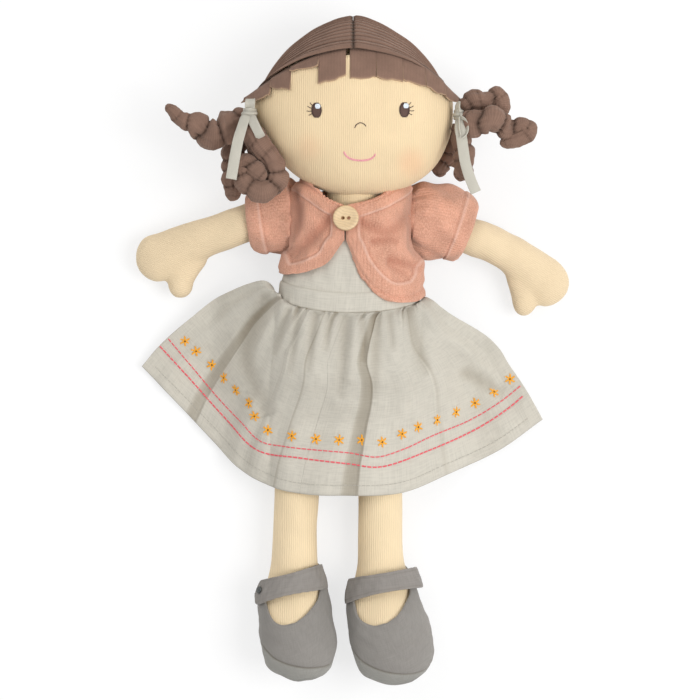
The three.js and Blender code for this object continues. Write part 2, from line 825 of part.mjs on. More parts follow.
// Legs: x, y, z, half width and half thickness from the hip to the toes
const LEG_STATIONS = {
  right: [
    [-29.8, SEAT_Y - JOINT_GAP, LEG_Z, LEG_RADIUS, LEG_RADIUS],
    [-30.1, HIP_Y, LEG_Z, LEG_RADIUS, LEG_RADIUS],
    [-31.2, -66, LEG_Z, LEG_RADIUS, LEG_RADIUS],
    [-32.6, -104, LEG_Z, LEG_RADIUS, LEG_RADIUS],
    [-33, -122, 15.2, 13.6, 13.4],
    [-33, -134, 15.3, 16.6, 14],
    [-32.9, -147, 18.2, 18.8, 15],
    [-31.4, -160, 23.6, 19.6, 14.6],
    [-29.4, -171, 28, 19.2, 13.6],
    [-27.2, -180, 31.4, 17.6, 12.6],
    [-26.4, -186.2, 33.6, 16.4, 11.6],
  ],
  left: [
    [16.2, SEAT_Y - JOINT_GAP, LEG_Z, LEG_RADIUS, LEG_RADIUS],
    [16.2, HIP_Y, LEG_Z, LEG_RADIUS, LEG_RADIUS],
    [16.2, -66, LEG_Z, LEG_RADIUS, LEG_RADIUS],
    [16.4, -104, LEG_Z, LEG_RADIUS, LEG_RADIUS],
    [16.6, -122, 15.2, 13.6, 13.4],
    [17, -134, 15.3, 16.8, 14],
    [18, -147, 18.2, 19.6, 15],
    [21, -160, 23.6, 21.3, 14.6],
    [24, -171, 28, 21, 13.6],
    [27, -180.5, 31.4, 19.4, 12.6],
    [28.8, -188, 33.6, 17.4, 11.6],
  ],
};
const legForms = {};
for (const side of ["right", "left"]) {
  legForms[side] = new Form(LEG_STATIONS[side], { round: [LEG_RADIUS, 15] });
}
const LEG_SIDES = 14;
const LEG_RINGS = 14;

function buildLegs() {
  for (const side of ["right", "left"]) {
    const leg = legForms[side].geometry(LEG_SIDES, LEG_RINGS);
    addPiece(`leg_${side}`, leg, COLOURS.skin);
  }
}

// Shoes: a soft shell round the foot, in an upper and a sole, with a strap and a press stud
const SHOE_OUTSIDE = LAYER_GAP + SHOE_CLOTH;
const VAMP_EDGE = { y: -156, z: 37 }; // the front edge of the opening, on top of the foot
const TOPLINE_SLOPE = 1.8; // how much further back the top edge is for each mm that it is lower
const COLLAR_Y = -122; // the shoe's back edge
const SOLE_TOE = { y: -177, z: 31 };
const SOLE_HEEL = { y: -130, z: 7 };
const STRAP_WIDTH = 9;
const STRAP_MIDDLE_Y = -134.5;
const STRAP_SLOPE = { right: 0.29, left: 0.17 }; // how far it rises towards the doll's left
const STRAP_REACH = 17;
// Degrees round the foot from the doll's right, over its top: the sewn end, the stud and the free end
const STRAP_ANGLES = {
  right: { sewn: 160, stud: 31, free: 10 },
  left: { sewn: 28, stud: 172, free: 194 },
};
const STRAP_STEPS = 14;
const STUD_CAP_THICKNESS = 1;
const STUD_THICKNESS = 0.5;
const STUD_RADIUS = 2.1;
const STRAP_SEWN = SHOE_OUTSIDE + LAYER_GAP + 0.15; // height of the strap's underside at its sewn end
const STRAP_INSIDE = STRAP_SEWN + STUD_THICKNESS + LAYER_GAP + 0.2; // and over its stud

function footShell(side, innerGrow, outerGrow) {
  const form = legForms[side];
  const outer = toSolid(form.geometry(LEG_SIDES, LEG_RINGS, outerGrow));
  const inner = toSolid(form.geometry(LEG_SIDES, LEG_RINGS, innerGrow));
  return outer.subtract(inner);
}

function buildShoes() {
  for (const side of ["right", "left"]) {
    const shell = footShell(side, LAYER_GAP, SHOE_OUTSIDE).subtract(belowSurface);
    const aboveTopline = beyond([0, VAMP_EDGE.y, VAMP_EDGE.z], [0, 1, TOPLINE_SLOPE]);
    const body = shell.subtract(aboveTopline).subtract(beyond([0, COLLAR_Y, 0], [0, 1, 0.1]));
    const rise = SOLE_TOE.z - SOLE_HEEL.z;
    const run = SOLE_HEEL.y - SOLE_TOE.y;
    const soleNormal = [0, rise, run];
    const half = SEAM_GAP / 2;
    const aboveSole = beyond([0, SOLE_TOE.y, SOLE_TOE.z - half], soleNormal);
    const belowSole = beyond([0, SOLE_TOE.y, SOLE_TOE.z + half], soleNormal.map((n) => -n));
    addPiece(`shoe_upper_${side}`, toGeometry(body.subtract(belowSole)), COLOURS.shoe);
    addPiece(`shoe_sole_${side}`, toGeometry(body.subtract(aboveSole)), COLOURS.sole);
    buildStrap(side);
  }
}

// The strap runs over the instep from its sewn end on the inner side to its stud on the outer side
function buildStrap(side) {
  const form = legForms[side];
  const angles = STRAP_ANGLES[side];
  const middle = form.placeAtY(STRAP_MIDDLE_Y);
  const width = STRAP_WIDTH / form.length;
  const centre = (angle) => {
    const x = -Math.cos(angle) * STRAP_REACH;
    return middle - (x * STRAP_SLOPE[side]) / form.length;
  };
  const place = (thickness) => (u, v) => {
    const angle = rad(mix(angles.sewn, angles.free, u));
    const underside = mix(STRAP_SEWN, STRAP_INSIDE, smooth(0, 0.5, u));
    return form.at(centre(angle) + (v - 0.5) * width, angle, underside + thickness);
  };
  const strap = cloth(place(STRAP_CLOTH), place(0), STRAP_STEPS, 3);
  addPiece(`shoe_strap_${side}`, strap, COLOURS.shoe);
  const studAngle = rad(angles.stud);
  const studPlace = centre(studAngle);
  const small = 0.01;
  const around = form
    .at(studPlace, studAngle + small, STRAP_INSIDE)
    .sub(form.at(studPlace, studAngle - small, STRAP_INSIDE));
  const alongFoot = form
    .at(studPlace + small, studAngle, STRAP_INSIDE)
    .sub(form.at(studPlace - small, studAngle, STRAP_INSIDE));
  const outward = around.cross(alongFoot).normalize();
  if (outward.x * Math.cos(studAngle) > 0) outward.negate();
  for (const [name, grow, thickness] of [
    ["stud_base", SHOE_OUTSIDE + LAYER_GAP, STUD_THICKNESS],
    ["stud_cap", STRAP_INSIDE + STRAP_CLOTH + LAYER_GAP, STUD_CAP_THICKNESS],
  ]) {
    const middleOfDisc = form.at(studPlace, studAngle, grow + thickness / 2);
    const disc = new THREE.CylinderGeometry(STUD_RADIUS, STUD_RADIUS, thickness, 12);
    disc.applyQuaternion(new THREE.Quaternion().setFromUnitVectors(new THREE.Vector3(0, 1, 0), outward));
    disc.translate(middleOfDisc.x, middleOfDisc.y, middleOfDisc.z);
    addPiece(`shoe_${name}_${side}`, disc, COLOURS.stud, 0.5);
  }
}

// Dress: a bodice, a waistband and a skirt in a front and a back panel
function waistLine(x) {
  const across = Math.min(Math.abs(x) / WAIST_HALF_WIDTH, 1);
  return WAIST_Y - WAIST_DIP * (1 - across ** 2) ** 0.75;
}

// Everything towards the feet from the waist line, moved up by a distance
function belowWaist(up) {
  const points = steps(16).map((t) => {
    const x = mix(-WAIST_HALF_WIDTH - 6, WAIST_HALF_WIDTH + 6, t);
    return [x, waistLine(x) + up];
  });
  points.push([BLOCK / 2, points[16][1]], [BLOCK / 2, -BLOCK], [-BLOCK / 2, -BLOCK]);
  points.push([-BLOCK / 2, points[0][1]]);
  const front = prism(points, -BLOCK, BLOCK);
  const back = block([-BLOCK / 2, -BLOCK, -BLOCK], [BLOCK / 2, WAIST_Y + up, SIDE_SEAM_Z]);
  return front.add(back);
}

function buildDress() {
  const layer = torsoLayer(LAYER_GAP, LAYER_GAP + COTTON);
  const band = layer.intersect(belowWaist(WAISTBAND_HEIGHT)).subtract(belowWaist(0));
  addPiece("waistband", toGeometry(band), COLOURS.dress);
  const bodice = layer
    .subtract(belowWaist(WAISTBAND_HEIGHT + SEAM_GAP))
    .subtract(beyond([0, BODICE_TOP, 0], [0, 1, 0]))
    .subtract(armholeRoom())
    .subtract(neckRoom)
    .subtract(headRoom);
  addPiece("bodice", toGeometry(bodice), COLOURS.dress);
  buildSkirt();
}

// Hem of the skirt from the doll's right to its left
const HEM_LINE = [
  [-121.2, -10],
  [-104, -28],
  [-83.6, -49.4],
  [-66, -67.6],
  [-48, -77.6],
  [-30, -82],
  [-6.8, -83.2],
  [27.4, -82],
  [54.2, -72.4],
  [84.4, -58.7],
  [110, -40.6],
];
const HEM_BACK_INSET = 2;
const GATHERS = 11;
const GATHERED_SEAM_GAP = 0.9; // the gathered edge stands a little further from the waistband
const FOLD_DEPTH = 1.6;
const SKIRT_LIFT = 3.4; // the cloth stands this far off what is under it, with room for its folds

function hemPoint(u) {
  const at = u * (HEM_LINE.length - 1);
  const i = Math.min(Math.floor(at), HEM_LINE.length - 2);
  const before = HEM_LINE[Math.max(i - 1, 0)];
  const a = HEM_LINE[i];
  const b = HEM_LINE[i + 1];
  const after = HEM_LINE[Math.min(i + 2, HEM_LINE.length - 1)];
  const t = at - i;
  const value = (k) =>
    0.5 *
    (2 * a[k] +
      (b[k] - before[k]) * t +
      (2 * before[k] - 5 * a[k] + 4 * b[k] - after[k]) * t ** 2 +
      (3 * a[k] - before[k] - 3 * b[k] + after[k]) * t ** 3);
  return [value(0), value(1)];
}

// The place just below the waistband at an angle round the torso
function waistPoint(angle) {
  let place = torsoForm.placeAtY(WAIST_Y);
  let point = torsoForm.at(place, angle, LAYER_GAP + COTTON);
  for (let i = 0; i < 4; i++) {
    const short = waistLine(point.x) - GATHERED_SEAM_GAP - point.y;
    place += short / torsoForm.length;
    point = torsoForm.at(place, angle, LAYER_GAP + COTTON);
  }
  return point;
}

// Height of the cloth over the torso and the legs, and down onto the back panel at the sides
function drapeHeight(x, y) {
  const middle = mix(-7, -2, smooth(-40, 20, y));
  const halfWidth = WAIST_HALF_WIDTH + mix(-0.5, 1.5, smooth(-60, 0, y));
  const crest = mix(LEG_Z + LEG_RADIUS, 44.6, smooth(-46, -8, y)) + 2.2 * smooth(0, 24, y);
  const low = COTTON + LAYER_GAP + COTTON + FOLD_DEPTH;
  const q = Math.abs(x - middle) / halfWidth;
  const onTop = crest - (crest - low) * 0.36 * Math.min(q, 1) ** 4;
  const flank = 1 - smooth(0.92, 1.95, q);
  return low + (onTop + LAYER_GAP + COTTON + SKIRT_LIFT - low) * flank;
}

function buildSkirt() {
  const outer = (u, v) => {
    const angle = rad(mix(180, 0, u));
    const top = waistPoint(angle);
    const [hx, hy] = hemPoint(u);
    const x = mix(top.x, hx, v);
    const y = mix(top.y, hy, v);
    const settle = smooth(0, 0.3, v);
    const fold = Math.cos(u * GATHERS * 2 * Math.PI) * mix(0.5, FOLD_DEPTH, v) * smooth(0, 0.12, v);
    const z = mix(top.z, drapeHeight(x, y), settle) + fold * smooth(0, 0.1, u) * smooth(0, 0.1, 1 - u);
    return new THREE.Vector3(x, y, z);
  };
  const inner = (u, v) => {
    const point = outer(u, v);
    const middle = torsoForm.line.getPointAt(0.5);
    const away = new THREE.Vector3(point.x - middle.x, 0, point.z - middle.z).normalize();
    const down = new THREE.Vector3(0, 0, 1);
    const direction = away.lerp(down, smooth(0, 0.25, v)).normalize();
    return point.addScaledVector(direction, -COTTON);
  };
  addPiece("skirt_front", cloth(outer, inner, 4 * GATHERS, 7), COLOURS.dress);

  const back = new THREE.Shape();
  const waistLeft = WAIST_HALF_WIDTH - 4;
  const waistRight = 1 - WAIST_HALF_WIDTH;
  const waistY = WAIST_Y - 5;
  back.moveTo(waistLeft, waistY);
  back.lineTo(waistRight, waistY);
  for (const t of steps(20)) {
    const [x, y] = hemPoint(t);
    const toMiddle = new THREE.Vector2(-x, waistY - y).normalize().multiplyScalar(HEM_BACK_INSET);
    back.lineTo(x + toMiddle.x, y + toMiddle.y);
  }
  back.closePath();
  const panel = new THREE.ExtrudeGeometry(back, { depth: COTTON, bevelEnabled: false });
  addPiece("skirt_back", panel, COLOURS.dress);
}

// Outlines of the jacket's two fronts, seen from the front
const JACKET_INSIDE = LAYER_GAP + COTTON + LAYER_GAP;
const FRONT_RIGHT_OUTLINE = [
  [FRONT_OPENING_X - FRONT_OPENING_GAP / 2, 61],
  [-7.4, 56.6],
  [-12.5, 48.5],
  [-20.5, 43.2],
  [-30.2, 40.5],
  [-38.8, 39.9],
  [-48, 46.7],
  [-48, 98],
  [-33.1, 96.3],
  [-21.5, 88.2],
  [-11.4, 80.9],
  [FRONT_OPENING_X - FRONT_OPENING_GAP / 2, 79],
];
const FRONT_LEFT_OUTLINE = [
  [FRONT_OPENING_X + FRONT_OPENING_GAP / 2, 61],
  [-0.6, 54.4],
  [3.4, 45.6],
  [10.3, 36.5],
  [20.5, 29.6],
  [30.2, 29.1],
  [38.8, 31.9],
  [48, 43.9],
  [48, 94],
  [33.1, 91.8],
  [18, 84.6],
  [3.4, 80.4],
  [FRONT_OPENING_X + FRONT_OPENING_GAP / 2, 79],
];

function buildJacket() {
  const layer = torsoLayer(JACKET_INSIDE, JACKET_INSIDE + VELOUR)
    .subtract(armholeRoom())
    .subtract(neckRoom)
    .subtract(headRoom)
    .subtract(belowSurface);
  const backRoom = block([-60, JACKET_HEM_BACK, -BLOCK], [60, JACKET_NECK_BACK, SIDE_SEAM_Z - SEAM_GAP]);
  addPiece("jacket_back", toGeometry(layer.intersect(backRoom)), COLOURS.jacket);
  for (const [name, outline] of [
    ["jacket_front_left", FRONT_LEFT_OUTLINE],
    ["jacket_front_right", FRONT_RIGHT_OUTLINE],
  ]) {
    const front = layer.intersect(prism(outline, SIDE_SEAM_Z, 80));
    addPiece(name, toGeometry(front), COLOURS.jacket);
  }
  buildSleeves();
  buildButton();
}

// Sleeves: short tubes from the armhole, round the root of each arm
const SLEEVE_STATIONS = {
  right: [
    [-ARMHOLE_X - 1.5, 76, 21, 20.5, 17.5],
    [-36, 76, 21, 21.6, 17.6],
    [-41, 75.6, 21, 22, 17.6],
    [-52, 73.8, 20.6, 17.5, 16.2],
    [-59.2, 73, 20.2, 14.4, 14.4],
  ],
  left: [
    [ARMHOLE_X + 1.5, 76, 21, 21, 17.5],
    [37, 75.8, 21, 22.4, 17.6],
    [43, 74.6, 21, 23, 17.6],
    [56, 71.2, 20.4, 20, 16.2],
    [66.4, 67.4, 19, 17, 14.4],
  ],
};

function buildSleeves() {
  for (const side of ["right", "left"]) {
    const form = new Form(SLEEVE_STATIONS[side]);
    const face = (grow) => (u, v) => form.at(v, u * 2 * Math.PI, grow);
    const sleeve = toSolid(cloth(face(0), face(-VELOUR), 18, 4, true)).subtract(headRoom);
    addPiece(`sleeve_${side}`, toGeometry(sleeve), COLOURS.jacket);
  }
}

function buildButton() {
  const place = torsoForm.placeAtY(BUTTON_Y);
  const chest = torsoForm.at(place, Math.PI / 2, JACKET_INSIDE + VELOUR);
  const profile = [
    new THREE.Vector2(0, 0),
    new THREE.Vector2(BUTTON_RADIUS - 0.8, 0),
    new THREE.Vector2(BUTTON_RADIUS, 0.9),
    new THREE.Vector2(BUTTON_RADIUS, BUTTON_THICKNESS - 0.9),
    new THREE.Vector2(BUTTON_RADIUS - 0.8, BUTTON_THICKNESS),
    new THREE.Vector2(BUTTON_RADIUS - 2.6, BUTTON_THICKNESS - 0.1),
    new THREE.Vector2(BUTTON_RADIUS - 4.2, BUTTON_THICKNESS - 0.7),
    new THREE.Vector2(0, BUTTON_THICKNESS - 0.9),
  ];
  const disc = new THREE.LatheGeometry(profile, 28);
  disc.rotateX(Math.PI / 2);
  let button = toSolid(disc);
  for (const direction of [-1, 1]) {
    const hole = new THREE.CylinderGeometry(BUTTON_HOLE_RADIUS, BUTTON_HOLE_RADIUS, 12, 10);
    hole.rotateX(Math.PI / 2);
    hole.translate((direction * BUTTON_HOLE_SPACING) / 2, 0, 0);
    button = button.subtract(toSolid(hole));
  }
  const geometry = toGeometry(button);
  const slope = -14; // degrees, the chest falls away towards the neck
  geometry.rotateX(rad(slope));
  const lift = LAYER_GAP + 0.2;
  geometry.translate(FRONT_OPENING_X + 0.4, BUTTON_Y, chest.z + lift);
  addPiece("button", geometry, COLOURS.wood, 0.6);
}

buildTorso();
buildHead();
addPiece("fringe_right", fringeStrip(FRINGE_RIGHT), COLOURS.hair);
addPiece("fringe_left", fringeStrip(FRINGE_LEFT), COLOURS.hair);
buildCurls();
buildRibbons();
buildArms();
buildLegs();
buildShoes();
buildDress();
buildJacket();

export default doll;
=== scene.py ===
"""A sewn rag doll lying on its back: the looks of its stuffed pieces, its clothes and its hair."""

import math

import bmesh
import bpy
import numpy as np
from mathutils import Matrix, Vector
from mathutils.bvhtree import BVHTree


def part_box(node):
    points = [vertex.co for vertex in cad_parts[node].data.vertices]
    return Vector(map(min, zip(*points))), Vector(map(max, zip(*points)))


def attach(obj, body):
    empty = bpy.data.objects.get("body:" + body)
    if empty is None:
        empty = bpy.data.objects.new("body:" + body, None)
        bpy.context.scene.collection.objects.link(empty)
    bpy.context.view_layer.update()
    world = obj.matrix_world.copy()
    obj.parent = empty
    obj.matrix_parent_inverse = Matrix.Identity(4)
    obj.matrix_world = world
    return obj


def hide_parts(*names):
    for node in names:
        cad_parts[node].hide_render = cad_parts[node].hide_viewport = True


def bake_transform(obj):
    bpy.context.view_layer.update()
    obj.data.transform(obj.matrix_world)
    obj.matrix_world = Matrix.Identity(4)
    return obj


bl_info = {
    "name": "Rag doll",
    "version": (1, 0, 0),
    "blender": (4, 5, 0),
    "location": "View3D > Sidebar > Rag doll",
    "description": "Builds a sewn rag doll in a linen dress and a velour jacket",
    "category": "Object",
}

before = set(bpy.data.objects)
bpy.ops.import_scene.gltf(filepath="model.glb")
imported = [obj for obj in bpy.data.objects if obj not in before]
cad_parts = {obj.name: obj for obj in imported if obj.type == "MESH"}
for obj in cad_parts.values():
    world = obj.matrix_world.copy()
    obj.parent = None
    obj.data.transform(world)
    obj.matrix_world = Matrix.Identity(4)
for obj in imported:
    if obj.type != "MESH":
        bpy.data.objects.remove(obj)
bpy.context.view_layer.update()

MM = 0.001
SIDES = ("right", "left")

# View straight down on the doll, in mm: the picture's middle, and the width that it shows
LENS = 150
SENSOR = 36
VIEW_CENTRE = (-1.14, -0.57, 24.0)
VIEW_WIDTH = 399.0
VIEW_DISTANCE = LENS / SENSOR * VIEW_WIDTH
# The picture: mm for each of its points, and the point that lies at the doll's origin
PIXEL = 0.57
ORIGIN_X, ORIGIN_Y = 352, 349

# Cloth thicknesses and the gaps between layers, in mm
LAYER_GAP = 0.35
COTTON = 1.4
VELOUR = 2.0
HAIR_CLOTH = 1.2
FRINGE_CLOTH = 0.9
RIBBON_CLOTH = 0.55
SHOE_CLOTH = 1.65
STRAP_CLOTH = 1.4

# Head, in mm
HEAD_CENTRE = (0.6, 138.1, 37.0)
HEAD_HALF_WIDTH = 56.5
HEAD_HALF_HEIGHT = 52.2
HEAD_HALF_DEPTH = 37.5
HEAD_MEAN_RADIUS = 45.0
CROWN_POWER = 1.6
RIGHT_CHEEK_POWER = 1.75
LEFT_CHEEK_POWER = 2.4
HEAD_DEPTH_POWER = 2.2
HAIRLINE_ANGLE = 34.5
NAPE_ANGLE = 226.0

# Body, in mm
NECK_PIVOT = (2.0, 78.0, 28.5)
NECK_RADIUS = 15.5
NECK_FOOT_RADIUS = 12.5
NECK_FOOT_TOP = 8.0
SEAT_Y = -16.0
LEG_RADIUS = 13.0
ARM_RADIUS = 11.0
WAIST_Y = 27.5
WAIST_DIP = 7.4
WAIST_HALF_WIDTH = 40.0
WAISTBAND_HEIGHT = 11.5
BODICE_TOP_Y = 76.8
FRONT_OPENING_X = -3.9


def mix(a, b, t):
    return a + (b - a) * t


def smooth(a, b, x):
    t = np.clip((np.asarray(x, float) - a) / (b - a), 0, 1)
    return t * t * (3 - 2 * t)


def bell(distance, width):
    return np.exp(-((distance / width) ** 2))


def above(least, point):
    """The points in mm, with none lower than this over the surface."""
    point[..., 2] = np.maximum(point[..., 2], least)
    return point


def unit(directions):
    return directions / np.linalg.norm(directions, axis=-1, keepdims=True)


def away_from(middle, point):
    """The direction from the middle to each point."""
    away = point - middle
    return away / (np.linalg.norm(away, axis=-1, keepdims=True) + 1e-9)


def linear(code):
    """A colour written as on a web page, as the shader wants it."""
    parts = [int(code[i : i + 2], 16) / 255 for i in (1, 3, 5)]
    return tuple(c / 12.92 if c <= 0.04045 else ((c + 0.055) / 1.055) ** 2.4 for c in parts)


def unevenness(points, size, seed):
    """A soft random swell over the points, about -1 to 1, with bumps of about the given size."""
    chance = np.random.default_rng(seed)
    total = np.zeros(points.shape[:-1])
    for _ in range(7):
        direction = chance.normal(size=3)
        direction /= np.linalg.norm(direction)
        wave = math.tau / (size * chance.uniform(0.75, 1.6))
        total += np.sin(points @ direction * wave + chance.uniform(0, 6.28))
    return total / 3


def curve_through(points):
    """A smooth curve of value against position."""
    xs, ys = np.array(points, float).T
    order = np.argsort(xs)
    xs, ys = xs[order], ys[order]
    slopes = np.gradient(ys, xs)

    def value(x):
        x = np.clip(x, xs[0], xs[-1])
        i = np.clip(np.searchsorted(xs, x, side="right") - 1, 0, len(xs) - 2)
        step = xs[i + 1] - xs[i]
        t = (x - xs[i]) / step
        start = (2 * t**3 - 3 * t**2 + 1) * ys[i] + (t**3 - 2 * t**2 + t) * step * slopes[i]
        end = (3 * t**2 - 2 * t**3) * ys[i + 1] + (t**3 - t**2) * step * slopes[i + 1]
        return start + end

    return value


def through(stations, places, power):
    """Points on a smooth line through the stations. A power of 0 spaces its knots evenly."""
    p = np.array(stations, float)
    ends = [2 * p[0] - p[1]], [2 * p[-1] - p[-2]]
    p = np.concatenate([ends[0], p, ends[1]])
    at = places * (len(p) - 3)
    i = np.minimum(at.astype(int), len(p) - 4)
    t = (at - i)[:, None]
    p0, p1, p2, p3 = p[i], p[i + 1], p[i + 2], p[i + 3]
    if power:
        step = lambda a, b: np.maximum(np.linalg.norm(b - a, axis=1)[:, None] ** power, 1e-6)
        d0, d1, d2 = step(p0, p1), step(p1, p2), step(p2, p3)
        m1 = ((p1 - p0) / d0 - (p2 - p0) / (d0 + d1) + (p2 - p1) / d1) * d1
        m2 = ((p2 - p1) / d1 - (p3 - p1) / (d1 + d2) + (p3 - p2) / d2) * d1
    else:
        m1 = (p2 - p0) / 2
        m2 = (p3 - p1) / 2
    start = (2 * t**3 - 3 * t**2 + 1) * p1 + (t**3 - 2 * t**2 + t) * m1
    return start + (3 * t**2 - 2 * t**3) * p2 + (t**3 - t**2) * m2


def picture(x, y):
    """A point of the picture, counted from its upper left corner, in mm on the doll."""
    return ((x - ORIGIN_X) * PIXEL, (ORIGIN_Y - y) * PIXEL)


class Form:
    """A stuffed form: rings across a smooth line. A station is x, y, z, half width and half thickness."""

    def __init__(self, stations, start_round=0.0, end_round=0.0, power=2.0):
        rows = np.array(stations, float)
        places = np.linspace(0, 1, 801)
        self.line = through(rows[:, :3], places, 0.5)
        self.halves = through(rows[:, 3:5], places, 0)
        steps = np.linalg.norm(np.diff(self.line, axis=0), axis=1)
        lengths = np.concatenate([[0], np.cumsum(steps)])
        self.length = lengths[-1]
        self.share = lengths / self.length
        self.tangents = np.gradient(self.line, axis=0)
        self.start_round = start_round
        self.end_round = end_round
        self.power = power

    def read(self, table, u):
        return np.stack([np.interp(u, self.share, table[:, k]) for k in range(table.shape[1])], -1)

    def frame(self, u):
        tangent = unit(self.read(self.tangents, u))
        side = unit(np.cross(tangent, np.array([0.0, 0.0, 1.0])))
        return tangent, side, np.cross(side, tangent)

    def near_ends(self, u):
        along = u * self.length
        start = np.clip(1 - along / self.start_round, 0, 1) if self.start_round else 0 * along
        end = np.clip(1 - (self.length - along) / self.end_round, 0, 1) if self.end_round else 0 * along
        return start, end

    def at(self, u, angle, grow=0.0):
        u = np.asarray(u, float)
        angle = np.asarray(angle, float)
        tangent, side, up = self.frame(u)
        start, end = self.near_ends(u)
        full = np.sqrt(np.maximum(1 - start**2, 0)) * np.sqrt(np.maximum(1 - end**2, 0))
        half = self.read(self.halves, u)
        c, s = np.cos(angle), np.sin(angle)
        across = np.sign(c) * np.abs(c) ** (2 / self.power) * (half[..., 0] + grow) * full
        high = np.sign(s) * np.abs(s) ** (2 / self.power) * (half[..., 1] + grow) * full
        point = self.read(self.line, u) + tangent * (grow * (end - start))[..., None]
        return point + side * across[..., None] + up * high[..., None]

    def place_at_y(self, y):
        """The place along the line that has this y."""
        ys = self.line[:, 1]
        if ys[0] > ys[-1]:
            return np.interp(-np.asarray(y, float), -ys, self.share)
        return np.interp(y, ys, self.share)


# Meshes


def build_mesh(name, points, faces, uvs=None, masks=None):
    """A mesh from points in mm. uvs gives one pair for each point, and masks a number for each."""
    mesh = bpy.data.meshes.new(name)
    mesh.from_pydata((np.asarray(points) * MM).tolist(), [], faces)
    if uvs is not None:
        layer = mesh.uv_layers.new(name="cloth")
        corners = np.zeros(len(mesh.loops), int)
        mesh.loops.foreach_get("vertex_index", corners)
        layer.data.foreach_set("uv", (np.asarray(uvs) * MM)[corners].astype(np.float32).ravel())
    for key, values in (masks or {}).items():
        attribute = mesh.attributes.new(key, "FLOAT", "POINT")
        attribute.data.foreach_set("value", np.asarray(values, np.float32))
    return mesh


def tidy_mesh(mesh, weld=0.02):
    """Closes seams and poles and turns the faces outwards."""
    work = bmesh.new()
    work.from_mesh(mesh)
    bmesh.ops.remove_doubles(work, verts=work.verts, dist=weld * MM)
    bmesh.ops.recalc_face_normals(work, faces=work.faces)
    for face in work.faces:
        face.smooth = True
    work.to_mesh(mesh)
    work.free()
    return mesh


def grid_mesh(name, place, columns, rows, size, masks=None, weld=0.02):
    """A sheet: place(u, v) gives its points in mm, and size its width and length for the weave."""
    us = np.linspace(0, 1, columns + 1) if isinstance(columns, int) else np.asarray(columns)
    vs = np.linspace(0, 1, rows + 1) if isinstance(rows, int) else np.asarray(rows)
    u, v = np.meshgrid(us, vs, indexing="ij")
    points = place(u, v).reshape(-1, 3)
    wide = len(vs)
    i, j = np.meshgrid(np.arange(len(us) - 1), np.arange(wide - 1), indexing="ij")
    a = (i * wide + j).ravel()
    faces = np.stack([a, a + wide, a + wide + 1, a + 1], 1).tolist()
    uvs = np.stack([u.ravel() * size[0], v.ravel() * size[1]], 1)
    values = {key: mask(u, v).ravel() for key, mask in (masks or {}).items()}
    return tidy_mesh(build_mesh(name, points, faces, uvs, values), weld)


def add_object(name, mesh, material):
    piece = bpy.data.objects.new(name, mesh)
    bpy.context.scene.collection.objects.link(piece)
    mesh.materials.clear()
    mesh.materials.append(material)
    return piece


def add_modifier(piece, kind, **settings):
    modifier = piece.modifiers.new(kind.lower(), kind)
    for key, value in settings.items():
        setattr(modifier, key, value)
    return modifier


def settle(piece):
    """Turns the piece's modifiers into plain mesh."""
    bpy.context.view_layer.update()
    graph = bpy.context.evaluated_depsgraph_get()
    mesh = bpy.data.meshes.new_from_object(piece.evaluated_get(graph), depsgraph=graph)
    piece.modifiers.clear()
    piece.data = mesh
    mesh.shade_smooth()
    return piece


def grid_piece(name, finish, place, columns, rows, size, masks=None, weld=0.02):
    mesh = grid_mesh(name, place, columns, rows, size, masks, weld)
    return add_object(name, mesh, material(finish))


def thicken(piece, thickness, offset=-1.0, round_edge=True):
    add_modifier(piece, "SOLIDIFY", thickness=thickness * MM, offset=offset, use_even_offset=False)
    if round_edge:
        width = min(0.3 * thickness, 0.4) * MM
        add_modifier(piece, "BEVEL", width=width, segments=2, limit_method="ANGLE", angle_limit=1.0)
    return settle(piece)


def finish_piece(piece, body, nodes=()):
    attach(piece, body)
    if nodes:
        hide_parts(*nodes)
    return piece


def joined(name, meshes, material):
    """Several meshes as one piece."""
    work = bmesh.new()
    for mesh in meshes:
        work.from_mesh(mesh)
    mesh = bpy.data.meshes.new(name)
    work.to_mesh(mesh)
    work.free()
    return add_object(name, mesh, material)


def lathe(profile, steps=64):
    """Rings of points round the z axis from pairs of radius and height."""
    rings = np.array(profile, float)

    def place(u, v):
        i = v * (len(rings) - 1)
        r = np.interp(i, np.arange(len(rings)), rings[:, 0])
        z = np.interp(i, np.arange(len(rings)), rings[:, 1])
        return np.stack([r * np.cos(u * math.tau), r * np.sin(u * math.tau), z], -1)

    return place, steps, len(rings) - 1


# Materials


class Value:
    """A socket of a material. Sums on it add the nodes that work them out."""

    def __init__(self, finish, socket):
        self.finish = finish
        self.socket = socket

    def maths(self, operation, *others):
        inputs = {i: other for i, other in enumerate((self, *others))}
        return self.finish.node("ShaderNodeMath", {"operation": operation}, inputs)

    def __add__(self, other):
        return self.maths("ADD", other)

    def __sub__(self, other):
        return self.maths("SUBTRACT", other)

    def __mul__(self, other):
        return self.maths("MULTIPLY", other)

    def __truediv__(self, other):
        return self.maths("DIVIDE", other)

    def __rsub__(self, other):
        return self.finish.node("ShaderNodeMath", {"operation": "SUBTRACT"}, {0: other, 1: self})

    __radd__ = __add__
    __rmul__ = __mul__

    def power(self, other):
        return self.maths("POWER", other)

    def sine(self):
        return self.maths("SINE")

    def fraction(self):
        return self.maths("FRACT")

    def whole(self):
        return self.maths("FLOOR")

    def least(self, other):
        return self.maths("MINIMUM", other)

    def most(self, other):
        return self.maths("MAXIMUM", other)

    def step(self, low, high):
        """0 below low, 1 above high, and smooth between them."""
        inputs = {"Value": self, "From Min": low, "From Max": high}
        settings = {"interpolation_type": "SMOOTHSTEP"}
        return self.finish.node("ShaderNodeMapRange", settings, inputs)


